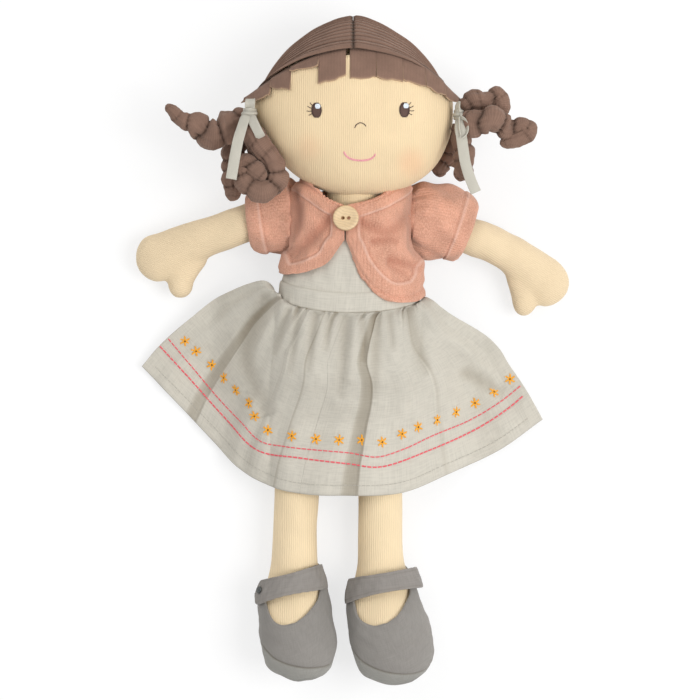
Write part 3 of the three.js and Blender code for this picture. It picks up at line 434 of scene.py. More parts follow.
class Finish:
    """A material and the nodes in it."""

    def __init__(self, name, roughness=0.9, sheen=0.0, tint=(1, 1, 1), metallic=0.0, specular=0.3):
        self.material = bpy.data.materials.new(name)
        self.material.use_nodes = True
        self.tree = self.material.node_tree
        self.tree.nodes.clear()
        output = self.tree.nodes.new("ShaderNodeOutputMaterial")
        self.shader = self.tree.nodes.new("ShaderNodeBsdfPrincipled")
        self.tree.links.new(self.shader.outputs[0], output.inputs[0])
        self.shader.inputs["Roughness"].default_value = roughness
        self.shader.inputs["Metallic"].default_value = metallic
        self.shader.inputs["Specular IOR Level"].default_value = specular
        self.shader.inputs["Sheen Weight"].default_value = sheen
        self.shader.inputs["Sheen Roughness"].default_value = 0.45
        self.shader.inputs["Sheen Tint"].default_value = (*tint, 1)

    def node(self, kind, settings=None, inputs=None, output=0):
        """Adds a node: its settings first, then the values or links of its sockets."""
        node = self.tree.nodes.new(kind)
        for key, value in (settings or {}).items():
            setattr(node, key, value)
        for key, value in (inputs or {}).items():
            if isinstance(value, Value):
                self.tree.links.new(value.socket, node.inputs[key])
            elif isinstance(value, tuple) and len(value) == 3 and node.inputs[key].type == "RGBA":
                node.inputs[key].default_value = (*value, 1)
            else:
                node.inputs[key].default_value = value
        return Value(self, node.outputs[output])

    def place(self):
        return self.node("ShaderNodeTexCoord", output="Object")

    def cloth(self):
        return self.node("ShaderNodeUVMap", {"uv_map": "cloth"})

    def mask(self, name):
        return self.node("ShaderNodeAttribute", {"attribute_name": name}, output="Fac")

    def parts(self, vector):
        node = self.tree.nodes.new("ShaderNodeSeparateXYZ")
        self.tree.links.new(vector.socket, node.inputs[0])
        return [Value(self, socket) for socket in node.outputs]

    def stretched(self, vector, scale):
        settings = {"operation": "MULTIPLY"}
        return self.node("ShaderNodeVectorMath", settings, {0: vector, 1: Vector(scale)})

    def noise(self, vector, scale, detail=3.0, rough=0.55):
        inputs = {"Vector": vector, "Scale": scale, "Detail": detail, "Roughness": rough}
        return self.node("ShaderNodeTexNoise", {"noise_dimensions": "3D"}, inputs)

    def blend(self, factor, a, b):
        settings = {"data_type": "RGBA"}
        inputs = {"Factor": factor, 6: a, 7: b}
        return self.node("ShaderNodeMix", settings, inputs, output=2)

    def colour(self, value):
        self.tree.links.new(value.socket, self.shader.inputs["Base Color"])

    def roughness(self, value):
        self.tree.links.new(value.socket, self.shader.inputs["Roughness"])

    def bump(self, height, depth, strength=1.0):
        """Height from 0 to 1 as a relief that is depth mm deep."""
        inputs = {"Strength": strength, "Distance": depth * MM, "Height": height}
        normal = self.node("ShaderNodeBump", None, inputs)
        self.tree.links.new(normal.socket, self.shader.inputs["Normal"])


def darker(colour, share):
    return tuple(c * share for c in colour)


def velour_skin(name, colour, rib_axis, blush=()):
    """Skin-coloured velour: fine ribs, a soft nap, and a little unevenness in its colour."""
    finish = Finish(name, roughness=0.95, sheen=0.25, tint=(1.0, 0.95, 0.85), specular=0.15)
    place = finish.place()
    if rib_axis == "cloth":
        across = finish.parts(finish.cloth())[0]
    else:
        across = finish.parts(place)["xyz".index(rib_axis)]
    wander = finish.noise(place, 60.0, 2.0) * 0.0012
    ribs = ((across + wander) * (math.tau / (RIB_SPACING * MM))).sine() * 0.5 + 0.5
    nap = finish.noise(place, 2600.0, 2.0)
    clouds = finish.noise(place, 45.0, 3.0)
    patches = clouds.step(0.35, 0.7)
    base = finish.blend(patches, darker(colour, 0.955), darker(colour, 1.03))
    tone = finish.blend(ribs * 0.7, base, darker(colour, 0.86))
    tone = finish.blend((nap - 0.35) * 0.3, tone, darker(colour, 1.1))
    # Painted shade: brown darkening where the mask marks folds, seams and the neck under the head
    crease = finish.mask("crease")
    tone = finish.blend(crease.least(1.0) * 0.55, tone, (0.42, 0.22, 0.09))
    for x, y, radius, strength, hue in blush:
        px, py, _ = finish.parts(place)
        dx = px - x * MM
        dy = py - y * MM
        far = (dx * dx + dy * dy).power(0.5)
        near = 1.0 - far.step(0.1 * radius * MM, radius * MM)
        tone = finish.blend(near * strength, tone, hue)
    finish.colour(tone)
    finish.bump(ribs * 0.6 + nap * 0.4, 0.3)
    return finish.material


def jersey(name, colour):
    """Brown hair jersey: fine knit lines, painted shade in its folds, and pale where it is cut."""
    finish = Finish(name, roughness=0.92, sheen=0.22, tint=(1.0, 0.86, 0.76), specular=0.15)
    place = finish.place()
    u = finish.parts(finish.cloth())[0]
    knit = (u * (math.tau / (KNIT_SPACING * MM))).sine() * 0.5 + 0.5
    nap = finish.noise(place, 1800.0, 3.0)
    clouds = finish.noise(place, 90.0, 3.0).step(0.3, 0.72)
    tone = finish.blend(clouds, darker(colour, 0.9), darker(colour, 1.12))
    tone = finish.blend(knit * 0.5, tone, darker(colour, 0.72))
    tone = finish.blend((nap - 0.4) * 0.5, tone, darker(colour, 1.35))
    # Painted shade: tucks, the waists of the curls and the fringe's top under the cap are darkened
    tone = finish.blend(finish.mask("crease").least(1.0), tone, darker(colour, 0.3))
    tone = finish.blend(finish.mask("cut"), tone, (0.46, 0.31, 0.2))
    finish.colour(tone)
    finish.bump(knit * 0.6 + nap * 0.4, 0.16)
    return finish.material


def plain_weave(finish, spacing):
    """Height of a plain weave, and the tone of its uneven threads, from the cloth's own map."""
    cloth = finish.cloth()
    u, v, _ = finish.parts(cloth)
    x = u / (spacing * MM)
    y = v / (spacing * MM)
    warp = (x.fraction() * math.pi).sine()
    weft = (y.fraction() * math.pi).sine()
    over = ((y + x.whole()) * math.pi).sine() * 0.5 + 0.5
    under = 0.5 - ((x + y.whole()) * math.pi).sine() * 0.5
    height = (warp * over).most(weft * under)
    lengthways = finish.noise(finish.stretched(cloth, (1500, 90, 1)), 1.0, 2.0)
    crossways = finish.noise(finish.stretched(cloth, (90, 1500, 1)), 1.0, 2.0)
    return height, lengthways * 0.5 + crossways * 0.5


def linen(name, colour, spacing=0.5, depth=0.16):
    """Cotton and linen cloth: a plain weave with slubs, and painted grey shade in its folds."""
    finish = Finish(name, roughness=0.88, sheen=0.12, tint=(1, 1, 0.97), specular=0.2)
    height, slubs = plain_weave(finish, spacing)
    clouds = finish.noise(finish.place(), 38.0, 3.0).step(0.3, 0.7)
    tone = finish.blend(clouds, darker(colour, 0.955), darker(colour, 1.04))
    tone = finish.blend(slubs.step(0.4, 0.66) * 0.5, tone, darker(colour, 1.14))
    tone = finish.blend((1.0 - slubs).step(0.46, 0.66) * 0.4, tone, darker(colour, 0.8))
    # Painted shade between the threads, where the weave lies low
    tone = finish.blend((1.0 - height) * 0.2, tone, darker(colour, 0.76))
    # Painted shade: gathers, folds and seams that the mask marks turn greyer and browner
    crease = finish.mask("crease").least(1.0)
    tone = finish.blend(crease * 0.8, tone, (colour[0] * 0.42, colour[1] * 0.36, colour[2] * 0.28))
    finish.colour(tone)
    finish.bump(height * 0.6 + slubs * 0.6, depth)
    return finish.material


def pile_velour(name, colour):
    """Coral velour: a brushed pile in short rows, paler in a line beside the seams of its hems, and painted
    shade in its folds.
    """
    finish = Finish(name, roughness=0.95, sheen=0.5, tint=(1.0, 0.78, 0.66), specular=0.1)
    cloth = finish.cloth()
    u = finish.parts(cloth)[0]
    wander = finish.noise(cloth, 160.0, 2.0) * 0.0011
    rows = ((u + wander) * (math.tau / (PILE_SPACING * MM))).sine() * 0.5 + 0.5
    tufts = finish.noise(finish.stretched(cloth, (900, 2200, 1)), 1.0, 4.0, 0.7)
    clouds = finish.noise(cloth, 70.0, 4.0, 0.6).step(0.3, 0.72)
    tone = finish.blend(clouds, darker(colour, 0.8), darker(colour, 1.12))
    pale_tufts_and_dark_rim = (colour[0] * 1.18, colour[1] * 1.42, colour[2] * 1.5)
    tone = finish.blend(tufts.step(0.44, 0.66) * 0.7, tone, pale_tufts_and_dark_rim)
    tone = finish.blend((1.0 - tufts).step(0.48, 0.7) * 0.6, tone, darker(colour, 0.66))
    tone = finish.blend(rows * 0.14, tone, darker(colour, 0.8))
    # Paler in a line just inside the groove of each hem
    tone = finish.blend(finish.mask("rubbed") * 0.5, tone, (0.86, 0.6, 0.5))
    # Painted shade in the folds, hem grooves and sewn ends that the mask marks
    crease = finish.mask("crease").least(1.0)
    tone = finish.blend(crease * 0.85, tone, (colour[0] * 0.45, colour[1] * 0.26, colour[2] * 0.22))
    finish.colour(tone)
    finish.bump(tufts * 0.8 + rows * 0.3, 0.7)
    return finish.material


def thread(name, colour, roughness=0.6):
    """Twisted thread."""
    finish = Finish(name, roughness=roughness, sheen=0.2, specular=0.35)
    place = finish.place()
    fine = finish.noise(place, 3000.0, 2.0)
    finish.colour(finish.blend(fine.step(0.35, 0.65), darker(colour, 0.82), darker(colour, 1.15)))
    finish.bump(fine, 0.1)
    return finish.material


def ribbon_cloth(name, colour):
    """Narrow cotton tape: a diagonal twill."""
    finish = Finish(name, roughness=0.8, sheen=0.15, specular=0.25)
    u, v, _ = finish.parts(finish.cloth())
    twill = ((u + v) * (math.tau / (0.9 * MM))).sine() * 0.5 + 0.5
    fine = finish.noise(finish.cloth(), 1500.0, 2.0)
    tone = finish.blend(twill * 0.4, darker(colour, 1.04), darker(colour, 0.84))
    tone = finish.blend((fine - 0.4) * 0.4, tone, darker(colour, 1.2))
    # Painted shade in the knot's pleats and where a band goes into the knot
    tone = finish.blend(finish.mask("crease").least(1.0) * 0.7, tone, darker(colour, 0.42))
    finish.colour(tone)
    finish.bump(twill * 0.6 + fine * 0.4, 0.14)
    return finish.material


def button_wood(name, colour):
    """Pale turned wood: long grain, fine pores and a slight polish, darker at its rim, and painted shade in
    its holes.
    """
    finish = Finish(name, roughness=0.5, specular=0.4)
    x, y, _ = finish.parts(finish.place())
    place = finish.stretched(finish.place(), (90, 420, 200))
    swirl = finish.noise(finish.place(), 130.0, 3.0) * 0.004
    rings = ((y * 0.96 + x * 0.28 + swirl) * (math.tau / 0.0016)).sine() * 0.5 + 0.5
    pores = finish.noise(place, 7.0, 3.0, 0.7)
    tone = finish.blend(rings.power(2.0) * 0.5, colour, darker(colour, 0.72))
    tone = finish.blend(pores.step(0.5, 0.72) * 0.45, tone, darker(colour, 0.6))
    # Painted shade in the holes, and a darker rim
    tone = finish.blend(finish.mask("crease").least(1.0) * 0.85, tone, (0.27, 0.13, 0.04))
    finish.colour(tone)
    finish.roughness(pores * 0.25 + 0.36)
    finish.bump(rings * 0.4 + pores * 0.6, 0.06)
    return finish.material


def dark_metal(name, colour):
    finish = Finish(name, roughness=0.42, metallic=0.7, specular=0.5)
    scuffs = finish.noise(finish.place(), 900.0, 3.0)
    finish.colour(finish.blend(scuffs.step(0.35, 0.7), darker(colour, 0.75), darker(colour, 1.3)))
    finish.roughness(scuffs * 0.3 + 0.3)
    finish.bump(scuffs, 0.03)
    return finish.material


def linen_thread(name, colour):
    return thread(name, darker(colour, 0.8))


# Spacings of the fabrics' own patterns, in mm
RIB_SPACING = 1.05
KNIT_SPACING = 0.85
PILE_SPACING = 1.3

# Rosy cheeks: x, y and radius in mm, strength and colour
CHEEKS = [(-24, 112, 11, 0.2, (0.86, 0.45, 0.26)), (33, 104, 12, 0.28, (0.86, 0.4, 0.22))]

# Each finish: what makes it, its name, its colour and its own values
FINISHES = {
    "face": (velour_skin, "face velour", "skin", "x", CHEEKS),
    "leg": (velour_skin, "leg velour", "limbs", "x"),
    "arm": (velour_skin, "arm velour", "arms", "cloth"),
    "hair": (jersey, "hair jersey", "hair"),
    "dress": (linen, "dress linen", "dress", 0.42, 0.13),
    "shoe": (linen, "shoe cotton", "shoe", 0.6, 0.2),
    "strap": (linen, "strap cotton", "strap", 0.6, 0.2),
    "sole": (linen, "sole cotton", "sole", 1.5, 0.5),
    "jacket": (pile_velour, "jacket velour", "jacket"),
    "ribbon": (ribbon_cloth, "grey ribbon", "ribbon"),
    "wood": (button_wood, "button wood", "wood"),
    "metal": (dark_metal, "stud metal", "#5c5e5d"),
    "coral thread": (thread, "coral thread", "#e8606a"),
    "gold thread": (thread, "gold thread", "#f0a92a"),
    "brown thread": (thread, "brown thread", "#8a5a2a"),
    "eye thread": (thread, "eye thread", "#5d453d"),
    "dark thread": (thread, "dark thread", "#4a332c"),
    "white thread": (thread, "white thread", "#dfe6ee"),
    "pink thread": (thread, "pink thread", "#e39aa5"),
    "linen thread": (linen_thread, "linen thread", "dress"),
}
MATERIALS = {}


def material(key):
    if key not in MATERIALS:
        maker, name, colour, *values = FINISHES[key]
        if colour.startswith("#"):
            tint = linear(colour)
        else:
            tint = tuple(getattr(bpy.context.scene.rag_doll_colours, colour))
        MATERIALS[key] = maker(name, tint, *values)
    return MATERIALS[key]


# Stitches, made by a node tree


# A stitch: its steps and sides, its taper, and its least thickness and its height as shares
STITCH_STEPS = 6
STITCH_SIDES = 6
STITCH_TAPER = 0.4
STITCH_TIP = 0.25
STITCH_HEIGHT = 0.7


def add_node(tree, kind, settings=None, inputs=None):
    """A node of a tree. Each input is a value, or the output that it comes from."""
    node = tree.nodes.new(kind)
    for key, value in (settings or {}).items():
        setattr(node, key, value)
    for key, value in (inputs or {}).items():
        if isinstance(value, bpy.types.NodeSocket):
            tree.links.new(value, node.inputs[key])
        else:
            node.inputs[key].default_value = value
    return node


def stitch_tree():
    """Puts a stitch on each point, along its own direction, and gives them their material."""
    name = "stitches"
    if name in bpy.data.node_groups:
        return bpy.data.node_groups[name]
    tree = bpy.data.node_groups.new(name, "GeometryNodeTree")
    face = tree.interface
    face.new_socket("Geometry", in_out="INPUT", socket_type="NodeSocketGeometry")
    face.new_socket("Thread Thickness", in_out="INPUT", socket_type="NodeSocketFloat")
    face.new_socket("Material", in_out="INPUT", socket_type="NodeSocketMaterial")
    face.new_socket("Geometry", in_out="OUTPUT", socket_type="NodeSocketGeometry")
    add = lambda *node: add_node(tree, *node)

    def maths(kind, *values):
        return add("ShaderNodeMath", {"operation": kind}, dict(enumerate(values))).outputs[0]

    given = add("NodeGroupInput")
    line = add("GeometryNodeCurvePrimitiveLine", None, {"Start": (-0.5, 0, 0), "End": (0.5, 0, 0)})
    inputs = {"Curve": line.outputs[0], "Count": STITCH_STEPS}
    fine = add("GeometryNodeResampleCurve", {"mode": "COUNT"}, inputs)
    along = add("GeometryNodeSplineParameter")
    swell = maths("SINE", maths("MULTIPLY", along.outputs["Factor"], math.pi))
    thin = maths("MAXIMUM", maths("POWER", swell, STITCH_TAPER), STITCH_TIP)
    sized = add("GeometryNodeSetCurveRadius", None, {"Curve": fine.outputs[0], "Radius": thin})
    inputs = {"Resolution": STITCH_SIDES, "Radius": 0.5}
    ring = add("GeometryNodeCurvePrimitiveCircle", {"mode": "RADIUS"}, inputs)
    body_inputs = {"Curve": sized.outputs[0], "Profile Curve": ring.outputs[0], "Fill Caps": True}
    body = add("GeometryNodeCurveToMesh", None, body_inputs)
    names = {}
    for key, kind in (("direction", "FLOAT_VECTOR"), ("upward", "FLOAT_VECTOR"), ("span", "FLOAT")):
        names[key] = add("GeometryNodeInputNamedAttribute", {"data_type": kind}, {"Name": key})
    turned = add(
        "FunctionNodeAxesToRotation",
        {"primary_axis": "Z", "secondary_axis": "X"},
        {0: names["upward"].outputs[0], 1: names["direction"].outputs[0]},
    )
    flat = maths("MULTIPLY", given.outputs[1], STITCH_HEIGHT)
    inputs = {0: names["span"].outputs[0], 1: given.outputs[1], 2: flat}
    scale = add("ShaderNodeCombineXYZ", None, inputs)
    points = add("GeometryNodeMeshToPoints", None, {"Mesh": given.outputs[0]})
    inputs = {
        "Points": points.outputs[0],
        "Instance": body.outputs[0],
        "Rotation": turned.outputs[0],
        "Scale": scale.outputs[0],
    }
    copies = add("GeometryNodeInstanceOnPoints", None, inputs)
    real = add("GeometryNodeRealizeInstances", None, {"Geometry": copies.outputs[0]})
    soft = add("GeometryNodeSetShadeSmooth", None, {0: real.outputs[0], "Shade Smooth": True})
    inputs = {"Geometry": soft.outputs[0], "Material": given.outputs[2]}
    done = add("GeometryNodeSetMaterial", None, inputs)
    add("NodeGroupOutput", None, {0: done.outputs[0]})
    return tree


def sew(name, stitches, thickness, finish):
    """Stitches in mm, each with its middle, direction, outward direction and length, as one piece."""
    middles = [s[0] for s in stitches]
    mesh = build_mesh(name, np.array(middles, float), [])
    for key, column, kind in (("direction", 1, "FLOAT_VECTOR"), ("upward", 2, "FLOAT_VECTOR")):
        attribute = mesh.attributes.new(key, kind, "POINT")
        flat = np.array([s[column] for s in stitches], np.float32).ravel()
        attribute.data.foreach_set("vector", flat)
    spans = mesh.attributes.new("span", "FLOAT", "POINT")
    spans.data.foreach_set("value", np.array([s[3] for s in stitches], np.float32) * MM)
    piece = add_object(name, mesh, finish)
    tree = stitch_tree()
    modifier = add_modifier(piece, "NODES", node_group=tree)
    sockets = [s for s in tree.interface.items_tree if s.in_out == "INPUT"]
    modifier[sockets[1].identifier] = thickness * MM
    modifier[sockets[2].identifier] = finish
    return settle(piece)


def dashes(points, normals, length, gap):
    """Even stitches along a line of points in mm, each lying on the cloth."""
    points = np.array(points, float)
    normals = np.array(normals, float)
    steps = np.linalg.norm(np.diff(points, axis=0), axis=1)
    along = np.concatenate([[0], np.cumsum(steps)])
    result = []
    place = gap / 2
    while place + length < along[-1]:
        a, m, b = (
            np.array([np.interp(p, along, points[:, k]) for k in range(3)])
            for p in (place, place + length / 2, place + length)
        )
        up = np.array([np.interp(place, along, normals[:, k]) for k in range(3)])
        direction = (b - a) / max(np.linalg.norm(b - a), 1e-9)
        result.append((m, direction, up / np.linalg.norm(up), length))
        place += length + gap
    return result


class Surface:
    """Finds the point of a piece that is under a point of the picture."""

    def __init__(self, *pieces):
        points = []
        faces = []
        for piece in pieces:
            start = len(points)
            points += [v.co.copy() for v in piece.data.vertices]
            faces += [[start + k for k in p.vertices] for p in piece.data.polygons]
        self.tree = BVHTree.FromPolygons(points, faces)

    def hit(self, origin, direction, lift):
        """The first point on the way in mm, and the direction that the cloth faces there."""
        spot, normal, _, _ = self.tree.ray_cast(origin, direction)
        if spot is None:
            return None
        if normal.z < 0:
            normal = -normal
        return np.array(spot / MM + normal * lift), np.array(normal)

    def under(self, x, y, lift=0.0):
        """Straight below a point in mm."""
        return self.hit(Vector((x * MM, y * MM, 0.3)), Vector((0, 0, -1)), lift)

    def seen_at(self, x, y, lift=0.0):
        """Behind a point of the picture."""
        eye = Vector((VIEW_CENTRE[0], VIEW_CENTRE[1], VIEW_CENTRE[2] + VIEW_DISTANCE)) * MM
        aim = Vector((*picture(x, y), VIEW_CENTRE[2])) * MM
        return self.hit(eye, (aim - eye).normalized(), lift)

    def trace(self, line, lift=0.0):
        """The places of a smooth line through points of the picture."""
        path = through([(*p, 0) for p in line], np.linspace(0, 1, 12 * len(line)), 0.5)
        found = [self.seen_at(x, y, lift) for x, y, _ in path]
        found = [f for f in found if f]
        return [f[0] for f in found], [f[1] for f in found]


# Head


def head_point(across, angle, grow=0.0):
    """A point of the head, on a ring about the line from ear to ear. 90 degrees is the crown."""
    across = np.asarray(across, float)
    c, s = np.cos(angle), np.sin(angle)
    cheek = np.where(across < 0, RIGHT_CHEEK_POWER, LEFT_CHEEK_POWER)
    power = np.where(s > 0, CROWN_POWER, cheek)
    ring = np.maximum(1 - np.abs(across) ** power, 0) ** (1 / power)
    deep = np.maximum(1 - np.abs(across) ** HEAD_DEPTH_POWER, 0) ** (1 / HEAD_DEPTH_POWER)
    x = HEAD_CENTRE[0] + across * (HEAD_HALF_WIDTH + grow)
    y = HEAD_CENTRE[1] + s * ring * (HEAD_HALF_HEIGHT + grow)
    z = HEAD_CENTRE[2] + c * deep * (HEAD_HALF_DEPTH + grow)
    return np.stack([x + 0 * y, y, z], -1)


def length_property(label, words, size, least=0.0):
    return bpy.props.FloatProperty(
        name=label, description=words, default=size, min=least, unit="LENGTH"
    )


class DollSizes(bpy.types.PropertyGroup):
    """Sizes of the doll that a maker would change."""

    tuck_spacing: length_property(
        "Tuck spacing", "Distance between two sewn tucks of the hair, over the crown", 0.0037, 0.002
    )
    tuck_height: length_property(
        "Tuck height", "How far a tuck stands above the hair beside it", 0.0009
    )
    ribbon_width: length_property("Ribbon width", "Width of the ribbon at each bunch", 0.006)
    stitch_length: length_property(
        "Stitch length", "Length of a stitch of the coral lines on the skirt", 0.0024
    )
    star_size: length_property("Star size", "Width of an embroidered star", 0.0064)
    gathers: bpy.props.IntProperty(
        name="Gathers",
        description="Number of small gathers below the waistband",
        default=17,
        min=6,
    )
    hem_width: length_property("Jacket hem", "Width of the folded hem of the jacket", 0.009)


def colour_property(label, words, code):
    return bpy.props.FloatVectorProperty(
        name=label, description=words, subtype="COLOR", size=3, min=0, max=1, default=linear(code)
    )


class DollColours(bpy.types.PropertyGroup):
    """Colours of the doll's fabrics and trims."""

    skin: colour_property("Face", "Velour of the head and the neck", "#edd5ae")
    limbs: colour_property("Legs", "Velour of the legs", "#eed8b3")
    arms: colour_property("Arms", "Velour of the arms", "#ead4b1")
    hair: colour_property("Hair", "Jersey of the cap, the fringe and the curls", "#84695b")
    dress: colour_property("Dress", "Linen of the dress", "#c7c2b6")
    jacket: colour_property("Jacket", "Velour of the jacket", "#dda289")
    shoe: colour_property("Shoes", "Cotton of the shoes", "#928e89")
    strap: colour_property("Shoe straps", "Cotton of the shoes' straps", "#8e8984")
    sole: colour_property("Soles", "Cotton of the shoes' soles", "#9c9a94")
    ribbon: colour_property("Ribbon", "Tape of the ribbons", "#bdb9ad")
    wood: colour_property("Button", "Wood of the button", "#dcc29b")


class RAGDOLL_OT_camera(bpy.types.Operator):
    """Sets the camera straight above the doll"""

    bl_idname = "ragdoll.camera"
    bl_label = "Camera"

    def execute(self, context):
        data = bpy.data.cameras.new("camera")
        data.lens = LENS
        data.sensor_width = SENSOR
        camera = bpy.data.objects.new("camera", data)
        x, y, z = VIEW_CENTRE
        camera.location = Vector((x, y, z + VIEW_DISTANCE)) * MM
        context.scene.collection.objects.link(camera)
        context.scene.camera = camera
        return {"FINISHED"}


# Floor and lights: sizes of the floor in mm, tones and strengths, and each lamp's place, size and power
FLOOR_HALF = 2500.0
FLOOR_Z = -0.3
FLOOR_TONE = (0.94, 0.94, 0.94, 1)
FLOOR_GLOW = 0.7
WHITE = (1, 1, 1, 1)
ROOM_LIGHT = 0.62
LAMPS = (
    ("key lamp", (0.95, -0.15, 1.35), 0.9, 17.0),
    ("fill lamp", (-0.8, 0.9, 1.3), 1.1, 6.0),
)
LAMP_AIM = (0, 0, 0.02)


class RAGDOLL_OT_stage(bpy.types.Operator):
    """Lays a plain pale floor and sets soft studio lamps"""

    bl_idname = "ragdoll.stage"
    bl_label = "Floor and lamps"

    def execute(self, context):
        low, high = -FLOOR_HALF, FLOOR_HALF
        corners = [(x, y, FLOOR_Z) for x, y in ((low, low), (high, low), (high, high), (low, high))]
        mesh = build_mesh("floor", corners, [[0, 1, 2, 3]])
        finish = bpy.data.materials.new("floor")
        finish.use_nodes = True
        tree = finish.node_tree
        shader = tree.nodes["Principled BSDF"]
        shader.inputs["Base Color"].default_value = FLOOR_TONE
        shader.inputs["Roughness"].default_value = 1.0
        shader.inputs["Specular IOR Level"].default_value = 0.0
        glow = add_node(tree, "ShaderNodeEmission", None, {"Color": WHITE, "Strength": 1.0})
        rays = add_node(tree, "ShaderNodeLightPath").outputs
        seen = rays["Is Camera Ray"]
        for kind in ("Is Glossy Ray", "Is Transmission Ray"):
            most = add_node(tree, "ShaderNodeMath", {"operation": "MAXIMUM"}, {0: seen, 1: rays[kind]})
            seen = most.outputs[0]
        share = add_node(tree, "ShaderNodeMath", {"operation": "MULTIPLY"}, {0: seen, 1: FLOOR_GLOW})
        inputs = {0: share.outputs[0], 1: shader.outputs[0], 2: glow.outputs[0]}
        both = add_node(tree, "ShaderNodeMixShader", None, inputs)
        tree.links.new(both.outputs[0], tree.nodes["Material Output"].inputs[0])
        add_object("floor", mesh, finish)

        world = bpy.data.worlds.new("studio")
        world.use_nodes = True
        tree = world.node_tree
        back = tree.nodes["Background"]
        back.inputs["Color"].default_value = WHITE
        back.inputs["Strength"].default_value = ROOM_LIGHT
        white = add_node(tree, "ShaderNodeBackground", None, {"Color": WHITE, "Strength": 1.0})
        rays = add_node(tree, "ShaderNodeLightPath").outputs
        inputs = {0: rays["Is Camera Ray"], 1: back.outputs[0], 2: white.outputs[0]}
        both = add_node(tree, "ShaderNodeMixShader", None, inputs)
        tree.links.new(both.outputs[0], tree.nodes["World Output"].inputs[0])
        context.scene.world = world
        context.scene.view_settings.view_transform = "Standard"

        for name, place, size, power in LAMPS:
            data = bpy.data.lights.new(name, "AREA")
            data.size = size
            data.energy = power
            lamp = bpy.data.objects.new(name, data)
            lamp.location = place
            aim = Vector(LAMP_AIM) - Vector(place)
            lamp.rotation_euler = aim.to_track_quat("-Z", "Y").to_euler()
            context.scene.collection.objects.link(lamp)
        return {"FINISHED"}


class RAGDOLL_OT_head(bpy.types.Operator):
    """Makes the stuffed head and the neck"""

    bl_idname = "ragdoll.head"
    bl_label = "Head and neck"

    def execute(self, context):
        def place(u, v):
            angle = u * math.tau
            across = -np.cos(v * math.pi)
            degrees = np.degrees(angle)
            under_cap = smooth(HAIRLINE_ANGLE - 6, HAIRLINE_ANGLE - 1, degrees)
            under_cap = under_cap * (1 - smooth(NAPE_ANGLE - 3, NAPE_ANGLE + 3, degrees))
            point = head_point(across, angle, -4.8 * under_cap)
            dents = unevenness(point, 30, 3) * 0.35
            point = point + away_from(np.array(HEAD_CENTRE), point) * dents[..., None]
            return above(0.6, point)

        size = (math.tau * HEAD_MEAN_RADIUS, 2 * HEAD_HALF_WIDTH * 1.3)
        # Painted shade at both sides of the head
        crease = {"crease": lambda u, v: smooth(0.985, 1.0, np.abs(np.cos(v * math.pi)))}
        head = grid_piece("head_ball", "face", place, 150, 110, size, crease)
        finish_piece(head, "head", ["head"])

        radius = NECK_RADIUS + 1.0
        top = HEAD_CENTRE[1] - HEAD_HALF_HEIGHT + 9 - NECK_PIVOT[1]
        foot = [math.radians(a) for a in range(-80, 0, 10)]
        profile = [(0, -NECK_FOOT_RADIUS)]
        profile += [(NECK_FOOT_RADIUS * math.cos(a), NECK_FOOT_RADIUS * math.sin(a)) for a in foot]
        profile += [(radius, y) for y in np.linspace(NECK_FOOT_TOP, top, 12)]
        place, steps, rows = lathe(profile, 72)

        def neck_place(u, v):
            p = place(u, v)
            turned = np.stack([p[..., 0], p[..., 2], -p[..., 1]], -1)
            turned += unevenness(turned, 9, 5)[..., None] * 0.15
            return turned + np.array(NECK_PIVOT)

        # Painted shade on the neck, darker towards the head above it
        shade = {"crease": lambda u, v: smooth(0.62, 1.0, v)}
        neck = grid_piece("neck_tube", "face", neck_place, steps, rows, (97, 28), shade)
        finish_piece(neck, "neck", ["neck"])
        return {"FINISHED"}


SATIN_SPACING = 0.62
# Each lash from the middle of its eye, outwards and down: where it starts and ends, in picture points
LASHES = [(4.2, -1.8, 9.4, -4.2), (4.6, 0.8, 10.4, 0.6), (4.2, 3.2, 8.8, 5.2), (3.6, -4.6, 6.6, -7.6)]


